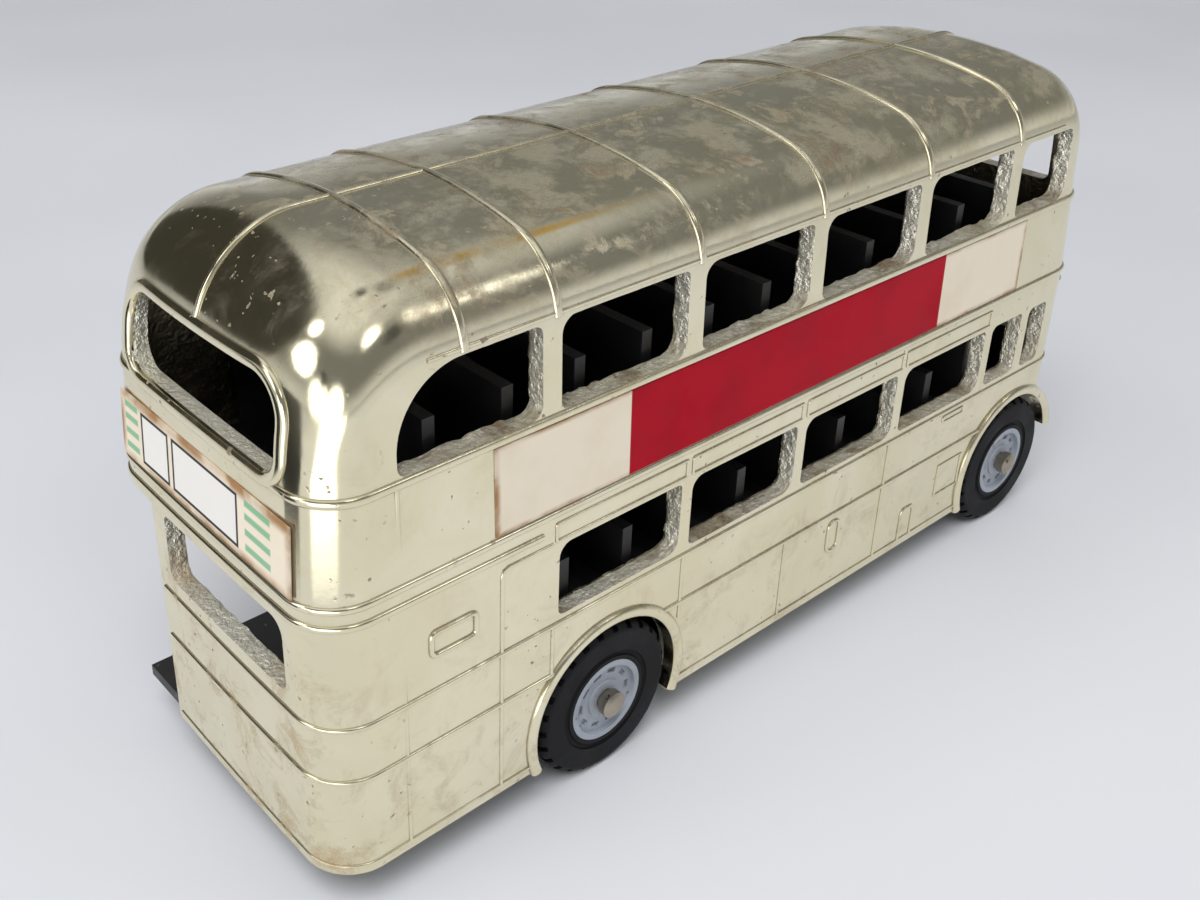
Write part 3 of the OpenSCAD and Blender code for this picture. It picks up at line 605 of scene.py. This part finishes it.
# Frame of the rear window, line along the roof's middle, and lips of the wheel arches
REAR_FRAME_HALF, REAR_FRAME_Z = 12.4, (UP_Z[0] - 0.5, UP_Z[1] + 0.2)
REAR_FRAME_RADII = (2.8, 2.8, 4.0, 4.0)
outline = rounded(-REAR_FRAME_HALF, REAR_FRAME_HALF, *REAR_FRAME_Z, REAR_FRAME_RADII, step=0.4)
trim.append(bead(*on_rear(outline), REAR_FRAME, closed=True, sink=0.3, points=11))

DOME_LINE_Z, CROWN_START, CROWN_END = (50.4, 57.2), 7.9, 2
dome_path, dome_normal = on_rear([(0, z) for z in np.linspace(*DOME_LINE_Z, 30)])
crown = []
for x0 in stations():
    s = section(x0)
    if s.from_rear > CROWN_START and s.from_front > CROWN_END:
        crown.append(warp(x0, 0.0, s.top, s.from_rear, s.from_front))
t = tangents(np.array(crown))
crown_normal = np.stack([-t[:, 2], 0 * t[:, 0], t[:, 0]], -1)
path = np.concatenate([dome_path, crown])
normal = np.concatenate([dome_normal, crown_normal])
trim.append(bead(*dense(path, normal, False), CENTRE_LINE))

LIP_TURNS = ((-21, 201), (14, 201))
for x, ends in zip(AXLES, LIP_TURNS):
    turn = np.radians(np.linspace(*ends, N_LIP))
    outline = np.stack([x + LIP_R * np.cos(turn), AXLE_Z + LIP_R * np.sin(turn)], -1)
    for side in SIDES:
        normal = np.tile([0.0, side, 0.0], (len(outline), 1))
        trim.append(bead(across(outline, side * HALF_W), normal, ARCH_LIP, sink=1.2, points=11))
trim_ob = make_object("casting_trim", *joined(trim))
fix_normals(trim_ob)

# Nose: plan, and the height and inset of each ring from its foot to its rounded top
NOSE_X, NOSE_R, NOSE_ROOT_X, NOSE_BACK_X = 54.6, 9.5, 30.0, 51.4
NOSE_RINGS = ((NOSE_Z, 1.0), (NOSE_Z, 0.0), (16.9, 0.0), (18.0, 0.25), (18.7, 0.8), (19.15, 1.7),
              (BONNET_Z, 3.0))
NOSE_IN_X, NOSE_IN_R, NOSE_IN_TOP = 52.9, 8.0, 17.9


def nose_ring(front_x, r, z, inset):
    """Plan outline of the nose at a height."""
    points = [(NOSE_ROOT_X, -HALF_W + inset)]
    for turn in np.radians(np.linspace(-90, 90, N_NOSE)):
        y = -(HALF_W - r) if turn < 0 else HALF_W - r
        points.append((front_x - r + (r - inset) * math.cos(turn), y + (r - inset) * math.sin(turn)))
    points.append((NOSE_ROOT_X, HALF_W - inset))
    return lying(np.array(points), z)


def tube(rings):
    """Closed solid through rings of points."""
    return np.concatenate(rings), skin_faces(len(rings), len(rings[0]))


nose = make_object("nose", *tube([nose_ring(NOSE_X, NOSE_R, z, inset) for z, inset in NOSE_RINGS]))
fix_normals(nose)
hollow = tube([nose_ring(NOSE_IN_X, NOSE_IN_R, z, WALL) for z in (HOLLOW_FOOT, NOSE_IN_TOP)])
cut(nose, make_object("nose_in", *hollow))
back = block((0, -OUT_Y, 2 * BELOW), (NOSE_BACK_X, OUT_Y, ROOF))
for cutter in [arch(AXLES[1], side) for side in SIDES] + [back]:
    cut(nose, make_object("nose_cut", *cutter))

# Mudguards, cab wall, bonnet, lamps and radiator
GUARD_R, GUARD_TURNS = LIP_OUTER_R - 0.25, (14, 120)
CAB_WALL = ((HALF_CAB_X, -0.2, 11.2), (51.5, HALF_CAB_Y, 29.2))
BONNET_Y0, BONNET_FOOT, BONNET_LAP, BONNET_EDGE_R = -0.2, 18.1, 0.06, 0.1
LAMP_Y, LAMP_Z = 6.3, 14.65
LAMP_PROFILE = ((53.7, 1.7), (54.8, 1.7), (55.05, 1.45), (55.05, 1.1), (54.85, 0.9))
GRILLE_Y, GRILLE_Z, GRILLE_X = (-3.4, 4.0), (10.4, 18.6), (53.4, 54.8)
GRILLE_RADII, GRILLE_FRAME = (0.9, 0.9, 1.6, 1.6), (0.35, 0.35)
SLAT_X, SLAT_Z, SLAT_HALF, SLAT_MARGIN, SLATS = (54.6, 55.0), (11.2, 17.6), 0.16, 0.9, 8


def mudguard(side):
    """Curved wing over a front wheel."""
    y0, y1 = span(side, ARCH_Y, HALF_W)
    rim = ((ARCH_R, y0), (GUARD_R, y0), (GUARD_R, y1), (ARCH_R, y1))
    turns = np.radians(np.linspace(*GUARD_TURNS, N_GUARD))
    verts = [(AXLES[1] + r * math.cos(a), y, AXLE_Z + r * math.sin(a)) for a in turns for r, y in rim]
    return np.array(verts), skin_faces(len(turns), len(rim))


def bonnet():
    """Plate beside the cab that closes the top of the engine's space, just above the casting's edge."""
    radii = (BONNET_EDGE_R, BONNET_EDGE_R, FRONT_R, BONNET_EDGE_R)
    outline = rounded(HALF_CAB_X, FRONT - BONNET_LAP, BONNET_Y0, HALF_W - BONNET_LAP, radii)
    return prism(outline, [BONNET_FOOT, BONNET_Z + BONNET_LAP], lying)


def lamp(side):
    """Headlamp: a short drum with a rim and a sunken face."""
    turn = np.linspace(0, 2 * math.pi, N_LAMP, endpoint=False)
    circle = np.stack([np.cos(turn), np.sin(turn)], -1)
    rings = [along((side * LAMP_Y, LAMP_Z) + r * circle, x) for x, r in LAMP_PROFILE]
    return np.concatenate(rings), skin_faces(len(rings), len(turn), open_start=True)


def radiator():
    """Shell, frame and slats of the radiator."""
    outline = rounded(*GRILLE_Y, *GRILLE_Z, GRILLE_RADII, step=0.4)
    forward = np.tile([1.0, 0.0, 0.0], (len(outline), 1))
    pieces = [prism(outline, GRILLE_X, along)]
    pieces.append(bead(along(outline, GRILLE_X[1]), forward, GRILLE_FRAME, closed=True, sink=0.2))
    for y in np.linspace(GRILLE_Y[0] + SLAT_MARGIN, GRILLE_Y[1] - SLAT_MARGIN, SLATS):
        pieces.append(block((SLAT_X[0], y - SLAT_HALF, SLAT_Z[0]), (SLAT_X[1], y + SLAT_HALF, SLAT_Z[1])))
    return pieces


extra = [mudguard(side) for side in SIDES] + [block(*CAB_WALL), bonnet()]
extra += [lamp(side) for side in SIDES] + radiator()
extra_ob = make_object("casting_extra", *joined(extra))
fix_normals(extra_ob)


# Materials
class Nodes:
    """Short ways to add nodes to one node tree."""

    def __init__(self, tree):
        self.tree = tree
        self.shader = tree.nodes.get("Principled BSDF")

    def put(self, socket, value):
        """Link an output to a socket, or set the socket's own value."""
        if isinstance(value, bpy.types.NodeSocket):
            self.tree.links.new(value, socket)
        elif socket.type == "RGBA":
            socket.default_value = (*value, 1)
        else:
            socket.default_value = value

    def shade(self, name, value):
        """Set an input of the surface's shader."""
        self.put(self.shader.inputs[name], value)

    def node(self, kind, inputs=None, **settings):
        new = self.tree.nodes.new("ShaderNode" + kind)
        for key, value in settings.items():
            setattr(new, key, value)
        for key, value in (inputs or {}).items():
            self.put(new.inputs[key], value)
        return new

    def calc(self, kind, a, b=0.0):
        return self.node("Math", {0: a, 1: b}, operation=kind).outputs[0]

    def times(self, a, b):
        return self.calc("MULTIPLY", a, b)

    def plus(self, a, b):
        return self.calc("ADD", a, b)

    def most(self, a, b):
        return self.calc("MAXIMUM", a, b)

    def ease(self, value, low, high, start=0.0, end=1.0):
        """Smooth way from start to end as a value goes from low to high."""
        inputs = {0: value, 1: low, 2: high, 3: start, 4: end}
        return self.node("MapRange", inputs, interpolation_type="SMOOTHSTEP").outputs[0]

    def blend(self, share, a, b):
        return self.node("Mix", {0: share, 6: a, 7: b}, data_type="RGBA").outputs[2]

    def noise(self, place, scale, detail=4.0, rough=0.55, distort=0.0):
        inputs = {"Vector": place, "Scale": scale, "Detail": detail, "Roughness": rough,
                  "Distortion": distort}
        return self.node("TexNoise", inputs).outputs[0]

    def coords(self):
        return self.node("TexCoord").outputs["Object"]

    def split(self, vector):
        return self.node("SeparateXYZ", {0: vector}).outputs

    def normalized(self, vector):
        return self.node("VectorMath", {0: vector}, operation="NORMALIZE").outputs[0]

    def within(self, heading, direction, inner, outer):
        """1 within the inner angle of a direction, in degrees, and 0 past the outer angle."""
        inputs = {0: heading, 1: tuple(Vector(direction).normalized())}
        closeness = self.node("VectorMath", inputs, operation="DOT_PRODUCT").outputs["Value"]
        return self.ease(closeness, math.cos(math.radians(outer)), math.cos(math.radians(inner)))

    def rect(self, u, v, u_span, v_span, soft=0.06):
        """1 inside a rectangle given in millimetres, 0 outside."""
        beyond = []
        for value, (low, high) in ((u, u_span), (v, v_span)):
            off = self.calc("ABSOLUTE", self.calc("SUBTRACT", value, (low + high) / 2 * MM))
            beyond.append(self.calc("SUBTRACT", off, (high - low) / 2 * MM))
        return self.ease(self.most(*beyond), -soft * MM, soft * MM, 1.0, 0.0)

    def bump(self, height, depth, strength):
        """Relief of a depth in millimetres."""
        inputs = {"Height": height, "Distance": depth * MM, "Strength": strength}
        self.shade("Normal", self.node("Bump", inputs).outputs[0])


def material(name):
    new = bpy.data.materials.new(name)
    new.use_nodes = True
    return new, Nodes(new.node_tree)


# The second of these tints is painted shade, laid into creases and corners.
DUST, CREASE_SHADE_TINT, SPOT = (0.095, 0.078, 0.053), (0.13, 0.11, 0.08), (0.10, 0.065, 0.04)
SIDE_BROWN, ROOF_BROWN = (0.36, 0.225, 0.085), (0.15, 0.098, 0.05)


def plating_material(name, tint, gloss, stain, grain, relief, dust=DUST, metal=1.0, corners=0.85, cover=0.0):
    """Thin bright plating with dust on upward faces, brown stains and specks, and painted shade that darkens
    the creases and corners through an occlusion mask; corners sets how strong that painted shade is.
    """
    new, n = material(name)
    place = n.coords()
    x, _, z = n.split(place)
    up = n.split(n.node("NewGeometry").outputs["Normal"])[2]
    # The rear dome is cleaner than the roof, and the foot of the panels and the low rear are browner
    roof = n.times(n.ease(up, 0.10, 0.80), n.ease(x, -51 * MM, -39 * MM, 0.15, 1.0))
    tail = n.times(n.ease(x, -54 * MM, -50 * MM, 0.5, 0.0), n.ease(z, 24 * MM, 31 * MM, 1.0, 0.0))
    splash = n.plus(n.ease(z, 9 * MM, 26 * MM, 0.22, 0.0), tail)
    cloud = n.noise(place, 90.0, 5.0, 0.6, 0.6)
    smear = n.ease(n.noise(place, 120.0, 8.0, 0.70, 0.2), 0.40 - cover, 0.70 - cover)
    patch = n.ease(n.noise(place, 210.0, 7.0, 0.68, 0.5), 0.47, 0.72)
    speck = n.ease(n.noise(place, 1150.0, 2.0, 0.5), 0.67, 0.73)
    sparse = n.ease(n.noise(place, 130.0, 2.0), 0.44, 0.60)
    spots = n.times(speck, sparse)
    tarnish = n.times(roof, n.times(smear, 0.76))
    brown = n.times(n.plus(n.times(roof, 0.8), n.plus(splash, stain)), patch)
    # Painted shade: the occlusion mask darkens creases and corners towards a dark tint.
    hidden = n.node("AmbientOcclusion", {"Distance": 0.6 * MM}, samples=8).outputs["AO"]
    crease_shade = n.times(n.ease(hidden, 0.45, 0.92, 1.0, 0.0), corners)
    # Real dirt together with the painted crease shade, which also dulls and roughens the metal there.
    dirt_and_shade = n.most(n.most(tarnish, brown), n.most(spots, crease_shade))
    dull = tuple(c * k for c, k in zip(tint, (0.93, 0.92, 0.86)))
    color = n.blend(n.ease(cloud, 0.3, 0.7), tint, dull)
    color = n.blend(tarnish, color, dust)
    color = n.blend(brown, color, n.blend(roof, SIDE_BROWN, ROOF_BROWN))
    color = n.blend(n.times(spots, 0.8), color, SPOT)
    n.shade("Base Color", n.blend(crease_shade, color, CREASE_SHADE_TINT))
    n.shade("Metallic", n.ease(dirt_and_shade, 0.0, 1.0, metal, 0.25 * metal))
    n.shade("Roughness", n.plus(n.ease(cloud, 0.35, 0.7, *gloss), n.times(dirt_and_shade, 0.34)))
    height = n.plus(n.times(n.noise(place, 1500.0, 3.0, 0.6), grain), n.times(spots, -0.4))
    height = n.plus(height, n.times(n.noise(place, 330.0, 2.0), 0.5))
    n.bump(height, *relief)
    return new


def speckled(name, color, gloss, dust, scale=400.0, metal=0.0, grain=0.04, worn=None, specular=0.5):
    """Plain moulded or painted surface with uneven gloss, dust and fine grain."""
    new, n = material(name)
    place = n.coords()
    cloud = n.noise(place, scale * 0.35, 4.0)
    mixed = n.blend(n.times(n.ease(cloud, 0.45, 0.75), 0.55), color, dust)
    if worn:
        mixed = n.blend(n.ease(n.noise(place, scale * 1.7, 3.0), 0.64, 0.72), mixed, worn)
    n.shade("Base Color", mixed)
    n.shade("Roughness", n.ease(cloud, 0.3, 0.7, *gloss))
    n.shade("Metallic", metal)
    n.shade("Specular IOR Level", specular)
    n.bump(n.noise(place, scale * 4.0, 3.0), grain, 0.5)
    return new


PAPER, PAPER_STAIN, GLUE = (0.82, 0.735, 0.59), (0.68, 0.54, 0.37), (0.34, 0.17, 0.06)
RED, RED_FADED, GREEN = (0.41, 0.002, 0.014), (0.35, 0.003, 0.014), (0.12, 0.42, 0.22)
INK, BLANK = (0.03, 0.03, 0.032), (0.80, 0.78, 0.74)

# Fields of the labels in millimetres
SIDE_INNER, SIDE_RED = ((-37.4, 38.2), (33.05, 40.8)), ((-22.8, 23.1), (20, 60))
END_INNER = ((-13.5, 13.5), (33.2, 38.4))
BOX_Z, BOX_LINE = (33.35, 38.35), 0.3
BAR_HEIGHTS, BAR_HALF = (34.1, 35.5, 36.9, 38.1), 0.3
REAR_BOXES, REAR_BARS = ((5.2, 10.2), (-6.3, 4.6)), ((-11.2, -7.4), (10.8, 13.2))
FRONT_BOXES = ((-7.5, 7.5),)


def paper(name):
    """Yellowed paper: the material, its nodes, its place and its colour so far."""
    new, n = material(name)
    place = n.coords()
    stain = n.ease(n.noise(place, 160.0, 4.0), 0.42, 0.78)
    n.shade("Roughness", n.ease(stain, 0.0, 1.0, 0.42, 0.55))
    n.shade("Specular IOR Level", 0.08)
    n.bump(n.noise(place, 1400.0, 3.0), 0.03, 0.4)
    return new, n, place, n.blend(n.times(stain, 0.35), PAPER, PAPER_STAIN)


def glued(n, place, color, inside):
    """Brown glue round a label's edge."""
    rim = n.calc("SUBTRACT", 1.0, inside)
    return n.blend(n.times(rim, n.ease(n.noise(place, 240.0, 3.0), 0.36, 0.62, 0.25, 0.95)), color, GLUE)


def side_label(name):
    """Cream paper with a red field in the middle."""
    new, n, place, color = paper(name)
    x, _, z = n.split(place)
    color = glued(n, place, color, n.rect(x, z, *SIDE_INNER, 0.3))
    red = n.blend(n.ease(n.noise(place, 210.0, 4.0), 0.4, 0.7), RED, RED_FADED)
    n.shade("Base Color", n.blend(n.rect(x, z, *SIDE_RED), color, red))
    return new


def end_label(name, boxes, bars):
    """Cream paper with bare boxes and groups of green bars, each given by its reach across the bus."""
    new, n, place, color = paper(name)
    _, y, z = n.split(place)
    color = glued(n, place, color, n.rect(y, z, *END_INNER, 0.5))
    for y0, y1 in boxes:
        color = n.blend(n.rect(y, z, (y0, y1), BOX_Z), color, INK)
        bare = n.rect(y, z, (y0 + BOX_LINE, y1 - BOX_LINE), (BOX_Z[0] + BOX_LINE, BOX_Z[1] - BOX_LINE))
        color = n.blend(bare, color, BLANK)
    for reach in bars:
        for bar_z in BAR_HEIGHTS:
            bar = n.rect(y, z, reach, (bar_z - BAR_HALF, bar_z + BAR_HALF), 0.1)
            color = n.blend(n.times(bar, 0.8), color, GREEN)
    n.shade("Base Color", color)
    return new


# Relief of plated and of rough metal: depth in millimetres and strength
SMOOTH_METAL, ROUGH_METAL = (0.05, 0.35), (0.28, 1.0)
plating = plating_material("plating", (0.905, 0.84, 0.625), (0.07, 0.17), 0.10, 0.25, SMOOTH_METAL)
reveal = plating_material("plating_reveal", (0.90, 0.87, 0.76), (0.20, 0.36), 0.16, 1.5, ROUGH_METAL,
                          dust=(0.20, 0.165, 0.09), metal=0.62, corners=0.35, cover=0.08)
# Inside of the casting: rough metal whose dark tint is painted shade standing in for the hollow's shadow.
shaded_inside = plating_material("plating_inner_painted_shade", (0.42, 0.38, 0.29), (0.35, 0.5), 0.3, 1.5, ROUGH_METAL)
black = speckled("seat_black", (0.010, 0.010, 0.011), (0.28, 0.45), (0.02, 0.019, 0.018))
base_black = speckled("base_black", (0.013, 0.013, 0.014), (0.35, 0.55), (0.05, 0.045, 0.04),
                      worn=(0.12, 0.10, 0.08))
steel = speckled("axle_steel", (0.42, 0.37, 0.30), (0.28, 0.5), (0.20, 0.13, 0.08),
                 scale=700.0, metal=1.0, grain=0.05, worn=(0.14, 0.07, 0.035))
disc_grey = speckled("disc_grey", (0.33, 0.36, 0.41), (0.32, 0.5), (0.24, 0.25, 0.27),
                     scale=500.0, grain=0.03, worn=(0.17, 0.16, 0.15))
rubber = speckled("tyre_rubber", (0.006, 0.006, 0.007), (0.5, 0.7), (0.018, 0.017, 0.016),
                  scale=500.0, specular=0.18)

# Plating on all of the casting, rough metal in the reveals, and rough metal with a dark tint deeper inside,
# the tint being painted shade for the hollow
SKIN_DEPTH, SKIN_FACING, REVEAL_DEPTH = 0.12, 0.6, WALL - 0.15
for ob in (body, trim_ob, nose, extra_ob):
    ob.data.shade_smooth()
    ob.data.set_sharp_from_angle(angle=math.radians(35))
    ob.data.materials.clear()
    ob.data.materials.append(plating)
    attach(ob, "bus")
body.data.materials.append(reveal)
body.data.materials.append(shaded_inside)
for face in body.data.polygons:
    _, skin_normal, _, depth = skin_tree.find_nearest(face.center / MM)
    on_skin = depth < SKIN_DEPTH and face.normal.dot(skin_normal) > SKIN_FACING
    # Faces deeper than the reveals take the inside material, which is darkened as painted shade.
    face.material_index = 0 if on_skin else 1 if depth < REVEAL_DEPTH else 2
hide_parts("body_shell")

side_paper = side_label("label_side")
looks = {"base_plate": base_black, "base_rivets": steel, "upper_deck_seats": black, "lower_deck_seats": black,
         "front_axle": steel, "rear_axle": steel, "label_offside": side_paper, "label_nearside": side_paper,
         "label_rear": end_label("label_back", REAR_BOXES, REAR_BARS),
         "label_front": end_label("label_fore", FRONT_BOXES, ())}
for name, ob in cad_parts.items():
    if name.startswith("hub"):
        looks[name] = disc_grey
    elif name.startswith("tyre"):
        looks[name] = rubber
    if name in looks:
        ob.data.materials.clear()
        ob.data.materials.append(looks[name])


# Stage, light and camera
def floor_material():
    """Pale floor; for mirror rays alone its far part is painted as a dark side and a glowing bright side of
    the room, painted reflections in the plating.
    """
    new, n = material("floor")
    place = n.coords()
    rear_corner = (-52 * MM, -14 * MM, 0.0)
    pale = n.blend(n.ease(n.noise(place, 7.0, 2.0), 0.3, 0.7), (0.60, 0.615, 0.655), (0.66, 0.67, 0.705))
    away = n.node("VectorMath", {0: place, 1: rear_corner}, operation="SUBTRACT").outputs[0]
    distance = n.node("VectorMath", {0: away}, operation="LENGTH").outputs["Value"]
    mirrored = n.times(n.node("LightPath").outputs["Is Glossy Ray"], n.ease(distance, 50 * MM, 90 * MM))
    heading = n.normalized(away)
    # Painted reflection: seen only in the plating, the far floor turns nearly black in one direction and
    # glows in another.
    painted_dark_reflection = n.times(mirrored, n.within(heading, (-0.87, 0.48, 0.0), 16, 20))
    painted_bright_reflection = n.times(mirrored, n.within(heading, (-0.80, -0.58, 0.0), 20, 26))
    n.shade("Base Color", n.blend(painted_dark_reflection, pale, (0.01, 0.01, 0.01)))
    n.shade("Emission Color", (1, 1, 1))
    n.shade("Emission Strength", n.times(painted_bright_reflection, 1.5))
    n.shade("Roughness", 0.7)
    n.shade("Specular IOR Level", 0.15)
    return new


bpy.ops.mesh.primitive_plane_add(size=6, location=(0, 0, 0))
floor = bpy.context.object
floor.name = "floor"
floor.data.materials.append(floor_material())

# Room that the plating mirrors: its haze, middle and ceiling, and what the camera sees of it
HAZE, MIDDLE, CEILING, BACKDROP = (0.62, 0.63, 0.65), (0.195, 0.2, 0.2), (0.85, 0.86, 0.88), (0.9, 0.91, 0.93)

# Patches of the room: direction, inner and outer angle in degrees, and colour
PATCHES = (
    ((-0.35, 0.80, 0.40), 29, 32, (0.045, 0.043, 0.037)),
    ((0.36, 0.05, 0.93), 5, 10, (0.03, 0.035, 0.03)),
    ((0.06, 0.14, 0.99), 3, 7, (0.03, 0.035, 0.03)),
    ((0.56, 0.20, 0.80), 3, 9, (0.42, 0.27, 0.07)),
    ((-0.86, 0.20, 0.42), 11, 13, (2.4, 2.4, 2.4)),
    ((-0.78, -0.55, 0.10), 13, 16, (2.2, 2.2, 2.2)),
    ((-0.93, -0.16, 0.12), 11, 14, (2.2, 2.2, 2.2)),
    ((-0.92, -0.21, 0.36), 3, 6, (0.04, 0.04, 0.04)),
    ((-0.62, 0.27, 0.74), 6, 8, (2.8, 2.8, 2.8)),
    ((-0.05, -0.69, 0.73), 6, 9, (3.0, 3.0, 3.0)),
    ((0.50, -0.60, 0.62), 5, 8, (3.0, 3.0, 3.0)),
    ((0.20, -0.66, 0.45), 4, 9, (0.06, 0.06, 0.06)),
)

world = bpy.data.worlds.new("studio")
bpy.context.scene.world = world
world.use_nodes = True
n = Nodes(world.node_tree)
heading = n.normalized(n.node("TexCoord").outputs["Generated"])
rise = n.split(heading)[2]
room = n.blend(n.ease(rise, 0.0, 0.3), HAZE, MIDDLE)
room = n.blend(n.ease(rise, 0.62, 0.95), room, CEILING)
for direction, inner, outer, color in PATCHES:
    room = n.blend(n.within(heading, direction, inner, outer), room, color)
seen = n.node("LightPath").outputs["Is Camera Ray"]
n.put(world.node_tree.nodes["Background"].inputs[0], n.blend(seen, room, BACKDROP))

# Key lamp, hidden from mirror-like reflections
KEY_PLACE, KEY_TARGET = Vector((-0.35, -0.25, 0.75)), Vector((0, 0, 0.02))
light = bpy.data.lights.new("key", "AREA")
light.energy = 5.2
light.size = 0.45
key = bpy.data.objects.new("key", light)
bpy.context.scene.collection.objects.link(key)
key.location = KEY_PLACE
key.rotation_euler = (KEY_TARGET - KEY_PLACE).to_track_quat("-Z", "Y").to_euler()
key.visible_glossy = False

# Camera fitted to the photograph, an off-centre crop
CAMERA_PLACE = Vector((-93.854, -84.532, 94.21)) * MM
YAW, PITCH, ROLL = (math.radians(angle) for angle in (51.297, 26.569, -0.397))
FOCAL_PX, PHOTO_WIDTH_PX, SENSOR = 1313.81, 1200, 36
forward = Vector((math.cos(PITCH) * math.cos(YAW), math.cos(PITCH) * math.sin(YAW), -math.sin(PITCH)))
level_right = Vector((math.sin(YAW), -math.cos(YAW), 0))
level_up = level_right.cross(forward)
right = level_right * math.cos(ROLL) + level_up * math.sin(ROLL)
up = level_up * math.cos(ROLL) - level_right * math.sin(ROLL)
lens = bpy.data.cameras.new("camera")
lens.sensor_width = SENSOR
lens.lens = FOCAL_PX * SENSOR / PHOTO_WIDTH_PX
lens.shift_x, lens.shift_y = 0.10693, -0.09081
lens.clip_start = 0.005
camera = bpy.data.objects.new("camera", lens)
bpy.context.scene.collection.objects.link(camera)
turned = Matrix((right, up, -forward)).transposed()
camera.matrix_world = Matrix.Translation(CAMERA_PLACE) @ turned.to_4x4()
scene = bpy.context.scene
scene.camera = camera
scene.view_settings.view_transform = "Standard"
